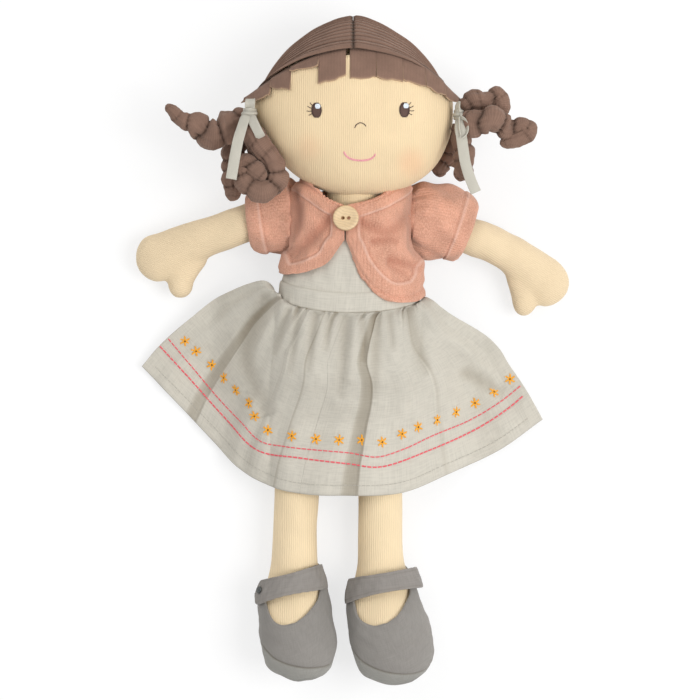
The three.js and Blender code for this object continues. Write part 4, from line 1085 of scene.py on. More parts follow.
class RAGDOLL_OT_face(bpy.types.Operator):
    """Embroiders the eyes, the nose and the mouth"""

    bl_idname = "ragdoll.face"
    bl_label = "Face"

    def execute(self, context):
        self.surface = Surface(bpy.data.objects["head_ball"])
        for side, x, y, out in (("right", 316.6, 110.2, -1), ("left", 404.4, 109.8, 1)):
            self.satin(f"eye_{side}", (x, y), (4.9, 7.7), "dark thread", 0.1)
            self.satin(f"eye_brown_{side}", (x - 0.4 * out, y + 0.8), (3.3, 5.6), "eye thread", 0.3)
            self.satin(f"eye_shine_{side}", (x + 1.3, y - 4.0), (2.3, 2.7), "white thread", 0.52)
            for k, (dx, dy, ex, ey) in enumerate(LASHES):
                ends = [(x + out * dx, y + dy), (x + out * (dx + ex) / 2, y + (dy + ey) / 2 + 0.4)]
                ends.append((x + out * ex, y + ey))
                self.line(f"lash_{side}_{k}", ends, "dark thread", 0.42, 1.1)
        nose = [(354.8, 127.4), (356.6, 124.6), (360.6, 122.8), (364.6, 124.6), (366.4, 127.4)]
        self.line("nose_stitches", nose, "dark thread", 0.52, 1.2)
        mouth = [(344.0, 152.2), (346.4, 155.8), (351.6, 159.0), (360.5, 160.4), (369.4, 159.2)]
        mouth += [(373.4, 156.8), (375.6, 153.6)]
        self.line("mouth_stitches", mouth, "pink thread", 0.62, 1.5, 2)
        return {"FINISHED"}

    def satin(self, name, centre, half, finish, lift):
        """Close parallel stitches that fill an oval of the picture."""
        rows = int(2 * half[1] / SATIN_SPACING)
        stitches = []
        for i in range(1, rows):
            t = -1 + 2 * i / rows
            reach = half[0] * math.sqrt(1 - t * t)
            y = centre[1] + t * half[1]
            ends = [self.surface.seen_at(centre[0] + d, y, lift)[0] for d in (-reach, reach)]
            middle, up = self.surface.seen_at(centre[0], y, lift + 0.1 * (1 - t * t))
            direction = ends[1] - ends[0]
            length = np.linalg.norm(direction)
            stitches.append((middle, direction / length, up, length + 0.3))
        finish_piece(sew(name, stitches, 0.5, material(finish)), "head")

    def line(self, name, points, finish, thickness, length, width=1):
        """A line of short stitches through points of the picture."""
        spots, normals = self.surface.trace(points, 0.14)
        stitches = []
        for k in range(width):
            shift = (k - (width - 1) / 2) * thickness * 0.8
            moved = [s + np.array([0, shift, 0]) for s in spots]
            stitches += dashes(moved, normals, length, -length * 0.35)
        finish_piece(sew(name, stitches, thickness, material(finish)), "head")


class RAGDOLL_OT_hair_cap(bpy.types.Operator):
    """Makes the two tucked halves of the hair cap"""

    bl_idname = "ragdoll.hair_cap"
    bl_label = "Hair cap"

    def execute(self, context):
        sizes = context.scene.rag_doll_sizes
        girth = math.radians(NAPE_ANGLE - HAIRLINE_ANGLE) * HEAD_MEAN_RADIUS
        tucks = round(girth / (sizes.tuck_spacing / MM))
        height = sizes.tuck_height / MM
        steps = [0.0, 0.06, 0.2, 0.45, 0.7, 0.86, 0.965]
        turns = np.array([k + s for k in range(tucks) for s in steps] + [tucks]) / tucks
        for side, first, last in (("right", -0.992, -0.002), ("left", 0.002, 0.992)):

            def across(v):
                return np.sin(mix(math.asin(first), math.asin(last), v))

            def lie(u):
                """How high the cloth lies on its tuck: it rises softly and drops under the next one."""
                t = np.where(u >= 1, 1.0, (u * tucks) % 1.0)
                return t**0.7 - 0.9 * smooth(0.94, 1.0, t)

            def place(u, v):
                a = across(v)
                degrees = mix(NAPE_ANGLE, HAIRLINE_ANGLE - 2.5 + 3.5 * a**2, u)
                near_ear = np.sqrt(np.maximum(1 - a**2, 0))
                wave = unevenness(np.stack([a * 60, degrees * 0.7, 0 * a], -1), 14, 11)
                lift = height * lie(u) * near_ear**0.7
                lip = 2.4 * smooth(HAIRLINE_ANGLE + 7, HAIRLINE_ANGLE + 0.5, degrees) * near_ear**0.5
                seam = 0.7 * smooth(1.0, 0.0, np.abs(a) * HEAD_HALF_WIDTH)
                tight = 1.9 * smooth(HAIRLINE_ANGLE + 2, HAIRLINE_ANGLE + 24, degrees)
                grow = lift + lip + 0.22 * wave - seam - tight - 0.7
                return above(0.3, head_point(a, np.radians(degrees), grow))

            # Painted shade under each tuck's edge and along the parting seam
            def crease(u, v):
                t = (u * tucks) % 1.0
                seam = smooth(0.55, 0.1, np.abs(across(v)) * HEAD_HALF_WIDTH)
                return np.maximum(0.5 * (1 - smooth(0.0, 0.13, t)), 0.9 * seam)

            masks = {"crease": crease, "cut": no_crease}
            mesh = grid_mesh(f"hair_{side}", place, turns, 48, (girth, 90), masks, 0.004)
            swap_map(mesh)
            piece = add_object(f"hair_{side}", mesh, material("hair"))
            thicken(piece, HAIR_CLOTH, round_edge=False)
            finish_piece(piece, "head", [f"hair_cap_{side}"])
        return {"FINISHED"}


def swap_map(mesh):
    """Turns the cloth's map by a right angle, so that its knit runs the other way."""
    layer = mesh.uv_layers["cloth"]
    flat = np.zeros(len(mesh.loops) * 2, np.float32)
    layer.data.foreach_get("uv", flat)
    layer.data.foreach_set("uv", np.ascontiguousarray(flat.reshape(-1, 2)[:, ::-1]).ravel())


# Tabs of the fringe in mm: left and right x, lower corners' y, and how far the free end stands off
FRINGE = {
    "right": [
        (-60.8, -45.8, 140.0, 144.6, 1.8), (-46.2, -34.6, 149.0, 148.0, 0.9),
        (-34.8, -18.8, 158.4, 161.0, 2.2), (-19.2, -3.3, 151.0, 155.6, 0.7),
    ],
    "left": [
        (-1.3, 13.9, 153.8, 154.6, 0.6), (13.7, 28.8, 154.4, 152.6, 0.8),
        (28.5, 41.5, 153.4, 149.6, 1.2), (41.3, 52.4, 149.6, 144.0, 1.2),
        (52.2, 61.2, 143.4, 139.6, 0.9),
    ],
}
FRINGE_EDGE = curve_through(
    [
        (-61.0, 142.0), (-46, 152.8), (-29.6, 162.4), (-14, 169.6), (1.5, 172.2), (18, 170.0),
        (30, 166.4), (41.6, 160.2), (52, 151.4), (61.2, 141.6),
    ],
)
FRINGE_HALF_WIDTH = HEAD_HALF_WIDTH + 4.9
FRINGE_HALF_HEIGHT = HEAD_HALF_HEIGHT + 2.4


def fringe_point(x, y, lift):
    """On the forehead, which the fringe wraps."""
    across = (x - HEAD_CENTRE[0]) / FRINGE_HALF_WIDTH
    up = (y - HEAD_CENTRE[1]) / FRINGE_HALF_HEIGHT
    forward = np.sqrt(np.maximum(1 - across**2 - up**2, 0.03))
    normal = unit(np.stack([across * 0.6, up * 0.6, forward], -1))
    point = np.stack([x, y, HEAD_CENTRE[2] + 0.4 + forward * HEAD_HALF_DEPTH], -1)
    point = point + normal * np.asarray(lift)[..., None]
    nearer = 1 - (point[..., 2:] - VIEW_CENTRE[2]) / VIEW_DISTANCE
    point[..., :2] *= nearer
    return point


class RAGDOLL_OT_fringe(bpy.types.Operator):
    """Cuts the fringe into its tabs"""

    bl_idname = "ragdoll.fringe"
    bl_label = "Fringe"

    def execute(self, context):
        across = [0, 0.02, 0.05, 0.12, 0.25, 0.4, 0.6, 0.75, 0.88, 0.95, 0.98, 1]
        down = [0, 0.06, 0.14, 0.25, 0.4, 0.55, 0.7, 0.82, 0.91, 0.96, 1]
        for side, tabs in FRINGE.items():
            meshes = []
            for number, tab in enumerate(tabs):
                left, right, low_left, low_right, lifted = tab

                def place(u, v):
                    narrow = 0.25 * v
                    x = mix(left + narrow, right - narrow, u)
                    top = FRINGE_EDGE(x) + 1.8
                    ragged = 0.35 * np.sin(u * 9 + number * 2) + 0.2 * np.sin(u * 23 + number)
                    low = mix(low_left, low_right, u) - 0.4 * np.sin(u * math.pi) + ragged
                    y = mix(top, np.minimum(low, top - 0.8), v)
                    free = smooth(0.2, 1.0, v)
                    corner = (2 * np.abs(u - 0.5)) ** 3
                    lift = 0.9 + 0.3 * (number % 2) + lifted * free**2 * (0.6 + 0.4 * corner)
                    wave = unevenness(np.stack([x, y, 0 * x + number * 9], -1), 9, 21 + number)
                    return fringe_point(x, y, lift + 0.25 * wave - 1.5 * smooth(0.26, 0.0, v))

                def cut(u, v):
                    side_edge = smooth(0.4, 0.05, np.minimum(u, 1 - u) * (right - left)) * 0.35
                    end_edge = smooth(0.7, 0.1, (1 - v) * 14)
                    return np.maximum(side_edge, end_edge) * smooth(0.3, 0.6, v)

                # Painted shade along the top under the cap's edge, and beside the cuts between tabs
                def crease(u, v):
                    near_side = smooth(0.9, 0.1, np.minimum(u, 1 - u) * (right - left)) * 0.35
                    return np.maximum(smooth(0.2, 0.05, v) * 0.6, near_side * (1 - v * 0.6))

                masks = {"crease": crease, "cut": cut}
                mesh = grid_mesh("tab", place, across, down, (right - left, 18), masks, 0.004)
                meshes.append(mesh)
            piece = joined(f"fringe_{side}_tabs", meshes, material("hair"))
            thicken(piece, FRINGE_CLOTH)
            finish_piece(piece, "head", [f"fringe_{side}"])
        return {"FINISHED"}


# Curls, from the tie to the tip: x, y, z and radius of each lobe in mm, and how deep the waist after it is
CURLS = {
    "right_outer": [
        (-57.5, 132.4, 46, 6.0, 0.3), (-69.6, 123.4, 45, 9.8, 0.42), (-79.4, 122.2, 46, 8.8, 0.4),
        (-87.2, 125.4, 46, 7.8, 0.35), (-95.6, 129.0, 46, 4.6, 0.06), (-101, 134.4, 46, 3.3, 0.02),
        (-105, 137, 46, 2.2, 0),
    ],
    "right_front": [
        (-57.6, 129.4, 53, 4.4, 0.3), (-55.6, 120.5, 55, 6.4, 0.12), (-50.4, 112.5, 57, 6.6, 0.12),
        (-43.8, 104.6, 55, 6.2, 0.35), (-43.2, 95.0, 55, 7.0, 0.35), (-51.0, 89.0, 57, 7.8, 0.3),
        (-59.6, 93.4, 58, 6.6, 0.3), (-60.0, 102.4, 58, 6.0, 0.35), (-53.4, 99.8, 61, 5.6, 0.25),
        (-48.6, 94.0, 61.6, 4.4, 0),
    ],
    "right_back": [
        (-61.6, 121, 36, 5.0, 0.2), (-67.0, 111, 34, 6.8, 0.35), (-69.0, 103.8, 33, 6.2, 0.35),
        (-68.0, 96.6, 33, 6.0, 0.3), (-67.4, 89.6, 33, 4.8, 0.05), (-69.0, 83.8, 32, 2.4, 0),
    ],
    "right_inner": [
        (-57.5, 126, 40, 4.4, 0.2), (-55.0, 117, 36, 6.0, 0.35), (-52.6, 108.0, 35.5, 6.0, 0.35),
        (-46.6, 101.4, 36, 5.2, 0),
    ],
    "left_upper": [
        (60.8, 134.2, 45, 4.4, 0.3), (68.8, 138.8, 45, 6.8, 0.1), (74.6, 139.8, 44, 5.8, 0.42),
        (81.4, 143.2, 42, 4.9, 0.1), (84.4, 137.6, 42, 5.0, 0.1), (82.6, 131.2, 42, 4.6, 0),
    ],
    "left_outer": [
        (61.4, 131, 51.6, 4.4, 0.2), (67.4, 127.2, 54, 8.0, 0.45), (77.4, 128.6, 55, 7.4, 0.42),
        (86.8, 123.4, 51, 6.6, 0.4), (95.0, 126.2, 50, 4.6, 0.2), (99.8, 122.6, 50, 4.5, 0.1),
        (91.6, 117.4, 50, 4.6, 0.06), (82.8, 115.0, 50, 2.6, 0),
    ],
    "left_lower": [
        (60.0, 127, 47, 4.4, 0.2), (61.6, 117.6, 46, 5.6, 0.35), (62.6, 108.4, 47, 6.2, 0.38),
        (62.2, 99.8, 47, 6.4, 0.3), (57.6, 97.0, 45, 4.6, 0),
    ],
    "left_inner": [
        (60.6, 126, 35.5, 4.4, 0.2), (56.4, 117.6, 28, 6.0, 0.35), (53, 110, 24, 6.2, 0.35),
        (50.4, 103.4, 21.5, 5.6, 0.3), (50, 98.0, 21, 3.6, 0),
    ],
}


CURL_STEP = 0.55
CURL_SIDES = 56


def curl_mesh(name, stations, seed):
    """A gathered jersey tube: plump lobes with puckered waists between them, each set off to one side."""
    form = Form([(x, y, z, r, r) for x, y, z, r, _ in stations], 3.0, stations[-1][3] * 1.3)
    spots = np.interp(np.linspace(0, 1, len(stations)), np.linspace(0, 1, 801), form.share)
    dips = np.array([s[4] for s in stations])
    numbers = np.arange(len(stations))
    columns = int(form.length / CURL_STEP)
    chance = np.random.default_rng(seed)
    start = chance.uniform(0, 6.28)
    pleats = int(chance.integers(9, 13))

    def lobe(u, v):
        """Place in lobes along the tube. The waists lie at a slant, like turns of a screw."""
        slant = 0.2 * np.sin(v * math.tau + start + 2.4 * u * len(stations))
        return np.interp(u, spots, numbers) + slant

    def waist(u, v):
        """1 in the middle of a waist and 0 on a lobe."""
        return 1 - np.abs(np.cos(math.pi * lobe(u, v))) ** 0.55

    def dip(u):
        return np.interp(np.interp(u, spots, numbers) - 0.5, numbers, dips)

    def place(u, v):
        angle = v * math.tau
        _, side, up = form.frame(u)
        near_start, near_end = form.near_ends(u)
        full = np.sqrt(np.maximum(1 - near_start**2, 0)) * np.sqrt(np.maximum(1 - near_end**2, 0))
        radius = form.read(form.halves, u)[..., 0] * full
        turn = start + 2.3 * np.interp(u, spots, numbers)
        shift = radius * 0.35 * dip(u)
        middle = form.read(form.line, u)
        middle = middle + side * (shift * np.cos(turn))[..., None] + up * (shift * np.sin(turn))[..., None]
        narrow = waist(u, v)
        pinch = 1 - dip(u) * narrow
        folds = 0.07 * np.sin(angle * pleats + 5 * u) + 0.04 * np.sin(angle * (pleats + 6) - 9 * u)
        size = radius * (pinch + folds * (0.25 + narrow) * (dip(u) > 0.01) * 1.2)
        point = middle + side * (size * np.cos(angle))[..., None] + up * (size * np.sin(angle))[..., None]
        lumps = unevenness(point, 7, seed) * 0.3 + unevenness(point, 2.6, seed + 1) * 0.13
        return point + away_from(middle, point) * (lumps * full)[..., None]

    # Painted shade in the puckered waists between lobes
    def crease(u, v):
        deep = waist(u, v) ** 2 * np.minimum(dip(u) * 2.4, 1)
        return np.clip(0.95 * deep + 0.22 * (dip(u) > 0.01) * smooth(0.3, 0.9, waist(u, v)), 0, 1)

    size = (form.length, math.tau * max(s[3] for s in stations))
    masks = {"crease": crease, "cut": no_crease}
    return grid_mesh(name, place, columns, CURL_SIDES, size, masks, 0.01)


class RAGDOLL_OT_curls(bpy.types.Operator):
    """Winds the curls of both bunches"""

    bl_idname = "ragdoll.curls"
    bl_label = "Curls"

    def execute(self, context):
        for number, (name, stations) in enumerate(CURLS.items()):
            side = name.split("_")[0]
            mesh = curl_mesh(f"wound_{name}", stations, 40 + number)
            piece = add_object(f"wound_{name}", mesh, material("hair"))
            finish_piece(piece, f"pigtail_{side}", [f"curl_{name}"])
        return {"FINISHED"}


def band_mesh(name, path, across, width, ends=0.0, cup=0.0, count=60):
    """A flat tape along a path in mm. across gives the direction of its width at each point of the path."""
    places = np.linspace(0, 1, count + 1)
    line = through(path, places, 0.5)
    wide = through(across, places, 0)
    along = unit(np.gradient(line, axis=0))
    wide = unit(wide - along * np.sum(wide * along, axis=1, keepdims=True))
    normal = np.cross(along, wide)
    length = float(np.sum(np.linalg.norm(np.diff(line, axis=0), axis=1)))

    def place(u, v):
        i = np.rint(u * count).astype(int)
        t = v - 0.5
        narrow = np.interp(u, [0, 0.12, 1], [1 - ends, 1, 1])
        bow = cup * (1 - (2 * t) ** 2) + 0.18 * np.sin(u * length * 0.5) * np.sin(v * 5)
        return line[i] + wide[i] * (t * width * narrow)[..., None] + normal[i] * bow[..., None]

    # Painted shade where the band starts, tucked into the knot
    def crease(u, v):
        return smooth(0.1, 0.0, u) * 0.8

    return grid_mesh(name, place, count, 8, (length, width), {"crease": crease}, 0.001)


# Ribbons in mm: each band has its path and its width's direction, each knot its middle and half size
BANDS = {
    "right": {
        "tail": (
            [
                (-58.8, 131.6, 58.0), (-60.8, 125, 61.6), (-63.2, 116.4, 65.4), (-65.2, 106, 66.6),
                (-67.2, 94.4, 66.2),
            ],
            [(1, 0.3, 0.1), (1, 0.3, 0.1), (1, 0.2, 0), (1, 0.15, 0.05), (1, 0.2, -0.05)],
        ),
        "loops": [
            (
                [
                    (-57, 131, 58), (-54.6, 125.6, 63), (-51.6, 119.6, 64), (-50.8, 118, 61.4),
                    (-52.6, 121.6, 58.6), (-56, 129, 57),
                ],
                [(0.85, 0.45, 0.3)] * 6,
            ),
            (
                [
                    (-57.2, 132.6, 57), (-57, 137.4, 60.4), (-56.8, 139.6, 58.2),
                    (-56.9, 137.4, 56), (-57.2, 133, 55.4),
                ],
                [(1, 0.1, 0.1)] * 5,
            ),
        ],
        "knot": ((-57.4, 131.8, 53.4), (4.3, 3.9, 7.4)),
    },
    "left": {
        "tail": (
            [
                (60.2, 128.6, 56.4), (60.8, 120.6, 58.8), (61.8, 113, 59.6), (63.2, 104, 59.6),
                (66.0, 94.8, 59.2), (69.2, 87.4, 58),
            ],
            [(1, 0.1, 0.25), (1, 0.15, 0.1), (1, 0.2, 0), (1, 0.35, 0), (1, 0.5, 0), (1, 0.6, 0)],
        ),
        "loops": [
            (
                [
                    (59.6, 130.4, 56), (63.6, 125.4, 58), (63.4, 120.2, 58.6), (60.4, 117.8, 58.6),
                    (58.8, 122, 58), (59.0, 129, 56),
                ],
                [(0.45, 0.12, 1)] * 6,
            ),
            ([(59.2, 138.0, 53.4), (59.0, 135, 55.0), (59.4, 131.6, 55.8)], [(0.4, 0.1, 1)] * 3),
        ],
        "knot": ((59.8, 131.4, 50.4), (3.2, 3.6, 7.2)),
    },
}


class RAGDOLL_OT_ribbons(bpy.types.Operator):
    """Ties a ribbon at each bunch"""

    bl_idname = "ragdoll.ribbons"
    bl_label = "Ribbons"

    def execute(self, context):
        width = context.scene.rag_doll_sizes.ribbon_width / MM
        for side, bands in BANDS.items():
            body = f"pigtail_{side}"
            mesh = band_mesh("tail", *bands["tail"], width, 0.3, 0.45, 90)
            tail = add_object(f"tail_{side}", mesh, material("ribbon"))
            thicken(tail, RIBBON_CLOTH, 0.0)
            finish_piece(tail, body, [f"ribbon_tail_{side}"])
            meshes = [band_mesh("loop", *loop, width * 0.9, 0.3, 0.3, 80) for loop in bands["loops"]]
            loop = joined(f"loop_{side}", meshes, material("ribbon"))
            thicken(loop, RIBBON_CLOTH, 0.0)
            finish_piece(loop, body, [f"ribbon_loop_{side}"])
            centre, half = bands["knot"]

            def place(u, v):
                angle = u * math.tau
                tilt = (v - 0.5) * math.pi
                pleats = 1 + 0.06 * np.cos(tilt * 9 + np.sin(angle)) + 0.05 * np.sin(angle * 3 + tilt * 4)
                c = np.cos(tilt) ** 0.8
                point = np.stack([c * np.cos(angle), np.sin(tilt), c * np.sin(angle)], -1)
                return point * np.array(half) * pleats[..., None] + np.array(centre)

            # Painted shade in the knot's pleats
            def crease(u, v):
                return 0.3 * (1 - np.cos((v - 0.5) * math.pi * 9 + np.sin(u * math.tau)))

            masks = {"crease": crease}
            knot = grid_piece(f"knot_{side}", "ribbon", place, 56, 48, (24, 12), masks)
            finish_piece(knot, body, [f"ribbon_knot_{side}"])
        return {"FINISHED"}


# Body, arms and legs: x, y, z, half width and half thickness in mm
TORSO = Form(
    [
        (-6.6, -26, 23.2, 37, 18.5), (-5, -4, 24, 37.5, 20.6), (-2, 24, 24.8, 39, 21.2),
        (-0.6, 42, 24.8, 36.5, 21.2), (0, 56, 24.8, 31.2, 21.2), (0, 70, 24.6, 30.6, 20.2),
        (0, 88, 24.2, 30.2, 18.5),
    ],
    0, 15, 2.3,
)
ARMS = {
    "right": [
        (-31.6, 77.4, 24, 10.6, 5), (-42.6, 77, 24, 10.6, 5), (-50, 75.2, 22.6, 11, 6.8),
        (-59, 72.6, 20.6, 11, 10.6), (-73, 67.6, 17.4, 10.8, 10.2), (-87, 62.6, 14.4, 11.3, 10),
        (-100, 57.2, 11.8, 12.8, 9.8), (-112, 52.6, 9.2, 13.9, 9.8), (-124.3, 49.6, 9.2, 13, 9.4),
    ],
    "left": [
        (31.6, 77.6, 24, 11, 6), (42.6, 77, 24, 11, 6), (52, 72.4, 22.2, 10.9, 8.0),
        (63, 66.2, 20, 10.7, 10.6), (79, 60.6, 16.8, 10.5, 10.2), (93, 53, 13.6, 11, 10),
        (104, 44.8, 11.4, 12.6, 9.8), (112.4, 36.8, 9.2, 13.6, 9.8), (120.2, 27.8, 9.2, 12.6, 9.4),
    ],
}
THUMBS = {
    "right": [
        (-92, 58, 11.6, 12, 8), (-96.4, 46.5, 11, 9.4, 7), (-98.4, 39.3, 10.4, 7.6, 6.4),
        (-98.2, 29, 10, 6.2, 5.6),
    ],
    "left": [
        (98, 48, 12, 11, 8), (98.6, 38, 11, 9, 7), (99, 29, 10.4, 7.4, 6.4),
        (99.4, 18.8, 10, 6, 5.6),
    ],
}
LEG_Z = LEG_RADIUS + COTTON + 0.9
LEGS = {
    "right": Form(
        [
            (-29.8, SEAT_Y - 0.45, LEG_Z, 13, 13), (-30.1, -29.45, LEG_Z, 13, 13),
            (-31.2, -66, LEG_Z, 13, 13), (-32.6, -104, LEG_Z, 13, 13),
            (-33, -122, 15.2, 13.6, 13.4), (-33, -134, 15.3, 16.6, 14),
            (-32.9, -147, 18.2, 18.8, 15), (-31.4, -160, 23.6, 19.6, 14.6),
            (-29.4, -171, 28, 19.2, 13.6), (-27.2, -180, 31.4, 17.6, 12.6),
            (-26.4, -186.2, 33.6, 16.4, 11.6),
        ],
        13, 15,
    ),
    "left": Form(
        [
            (16.2, SEAT_Y - 0.45, LEG_Z, 13, 13), (16.2, -29.45, LEG_Z, 13, 13),
            (16.2, -66, LEG_Z, 13, 13), (16.4, -104, LEG_Z, 13, 13), (16.6, -122, 15.2, 13.6, 13.4),
            (17, -134, 15.3, 16.8, 14), (18, -147, 18.2, 19.6, 15), (21, -160, 23.6, 21.3, 14.6),
            (24, -171, 28, 21, 13.6), (27, -180.5, 31.4, 19.4, 12.6),
            (28.8, -188, 33.6, 17.4, 11.6),
        ],
        13, 15,
    ),
}


def no_crease(u, v):
    return 0 * u


class RAGDOLL_OT_body(bpy.types.Operator):
    """Makes the stuffed body"""

    bl_idname = "ragdoll.body"
    bl_label = "Body"

    def execute(self, context):
        def place(u, v):
            y = mix(SEAT_Y, 84, v)
            point = TORSO.at(TORSO.place_at_y(y), u * math.tau, -0.2)
            closed = np.minimum(smooth(0, 0.02, v), 1 - smooth(0.97, 1.0, v))
            middle = TORSO.read(TORSO.line, TORSO.place_at_y(y))
            return middle + (point - middle) * closed[..., None] ** 0.5

        # Painted shade along the side seam
        seam = {"crease": lambda u, v: smooth(0.012, 0.0, np.abs(u - 0.5)) * 0.4}
        body = grid_piece("body_form", "leg", place, 96, 80, (200, 100), seam)
        finish_piece(body, "torso", ["torso"])
        return {"FINISHED"}


class RAGDOLL_OT_limbs(bpy.types.Operator):
    """Makes the stuffed arms and legs"""

    bl_idname = "ragdoll.limbs"
    bl_label = "Arms and legs"

    def execute(self, context):
        for side in SIDES:
            arm_form = Form(ARMS[side], ARM_RADIUS, 12)
            thumb_form = Form(THUMBS[side], 5, 6.5)
            parts = []
            for form, long in ((arm_form, 90), (thumb_form, 30)):
                place = lambda u, v, form=form: form.at(v, u * math.tau)
                parts.append(grid_mesh("part", place, 48, long, (70, form.length)))
            arm = joined(f"sewn_arm_{side}", parts, material("arm"))
            add_modifier(arm, "REMESH", mode="VOXEL", voxel_size=1.3 * MM, use_smooth_shade=True)
            add_modifier(arm, "SMOOTH", factor=0.5, iterations=9)
            settle(arm)
            self.plump(arm, side)
            finish_piece(arm, f"arm_{side}", [f"arm_{side}"])

            form = LEGS[side]

            def place(u, v):
                point = form.at(v, u * math.tau)
                swell = unevenness(point, 22, 31 if side == "right" else 32) * 0.3
                away = away_from(form.read(form.line, v), point)
                return point + away * swell[..., None] - away * 0.3

            masks = {"crease": no_crease}
            leg = grid_piece(f"sewn_leg_{side}", "leg", place, 72, 150, (82, form.length), masks)
            finish_piece(leg, f"leg_{side}", [f"leg_{side}"])
        return {"FINISHED"}

    def plump(self, arm, side):
        """Small dents from the stuffing, the cloth's own map, and a flat where it rests."""
        mesh = arm.data
        count = len(mesh.vertices)
        flat = np.zeros(count * 3)
        mesh.vertices.foreach_get("co", flat)
        points = flat.reshape(-1, 3) / MM
        normals = np.zeros(count * 3)
        mesh.vertices.foreach_get("normal", normals)
        swell = unevenness(points, 16, 51 if side == "right" else 52) * 0.3
        points = above(0.2, points + normals.reshape(-1, 3) * swell[:, None])
        mesh.vertices.foreach_set("co", (points * MM).ravel())
        line = np.array([row[:2] for row in ARMS[side]])
        direction = line[-2] - line[2]
        direction /= np.linalg.norm(direction)
        layer = mesh.uv_layers.new(name="cloth")
        corners = np.zeros(len(mesh.loops), int)
        mesh.loops.foreach_get("vertex_index", corners)
        across = points[:, 0] * -direction[1] + points[:, 1] * direction[0]
        along = points[:, 0] * direction[0] + points[:, 1] * direction[1]
        pairs = np.stack([across, along], 1) * MM
        layer.data.foreach_set("uv", pairs[corners].astype(np.float32).ravel())
        attribute = mesh.attributes.new("crease", "FLOAT", "POINT")
        attribute.data.foreach_set("value", np.zeros(count, np.float32))
        mesh.update()


# Shoes, in mm: where the seam between upper and sole lies on the toe, and how it slopes to the heel
SHOE_OUTSIDE = LAYER_GAP + SHOE_CLOTH
SOLE_TOE = {"right": (-37.6, -178.4, 43.0), "left": (5.1, -175.6, 35.0)}
SOLE_NORMAL = {"right": (0.15, 0.85, 0.5), "left": (0.13, 0.84, 0.53)}
# Opening of a shoe: the y of its edge by degrees, from the heel (-90) past the side (0) to the instep (90)
OPENING = curve_through(
    [
        (-90, -122), (-45, -126), (0, -131.5), (22, -134), (36, -142), (50, -152), (68, -158.4),
        (90, -160.6),
    ],
)
STRAP_WIDTH = {"right": 13.2, "left": 12.2}
STRAP_MIDDLE_Y = -135.0
STRAP_SLOPE = {"right": 0.31, "left": 0.19}
STRAP_REACH = 17.0
STRAP_ANGLES = {"right": (166, 31, 10), "left": (20, 170, 187)}
STRAP_SEWN = SHOE_OUTSIDE + LAYER_GAP + 0.15
STRAP_INSIDE = STRAP_SEWN + 0.5 + LAYER_GAP + 0.2
# Press stud in mm: radius and height of its rings, for the base on the shoe and the cap on the strap
STUD_BASE = [(0, 0.5), (0.8, 0.5), (1.4, 0.45), (2.0, 0.4), (2.1, 0.15), (2.0, 0), (0, 0)]
STUD_CAP = [
    (0, 1.15), (0.7, 1.1), (1.0, 0.9), (1.35, 0.85), (1.7, 1.0), (2.05, 0.7), (2.1, 0.1), (1.2, 0),
    (0, 0),
]


def cut_mesh(mesh, point, normal):
    """Cuts away what lies on the far side of a plane."""
    work = bmesh.new()
    work.from_mesh(mesh)
    bmesh.ops.bisect_plane(
        work,
        geom=work.verts[:] + work.edges[:] + work.faces[:],
        plane_co=Vector(point) * MM,
        plane_no=Vector(normal).normalized(),
        clear_outer=True,
    )
    work.to_mesh(mesh)
    work.free()
    return mesh


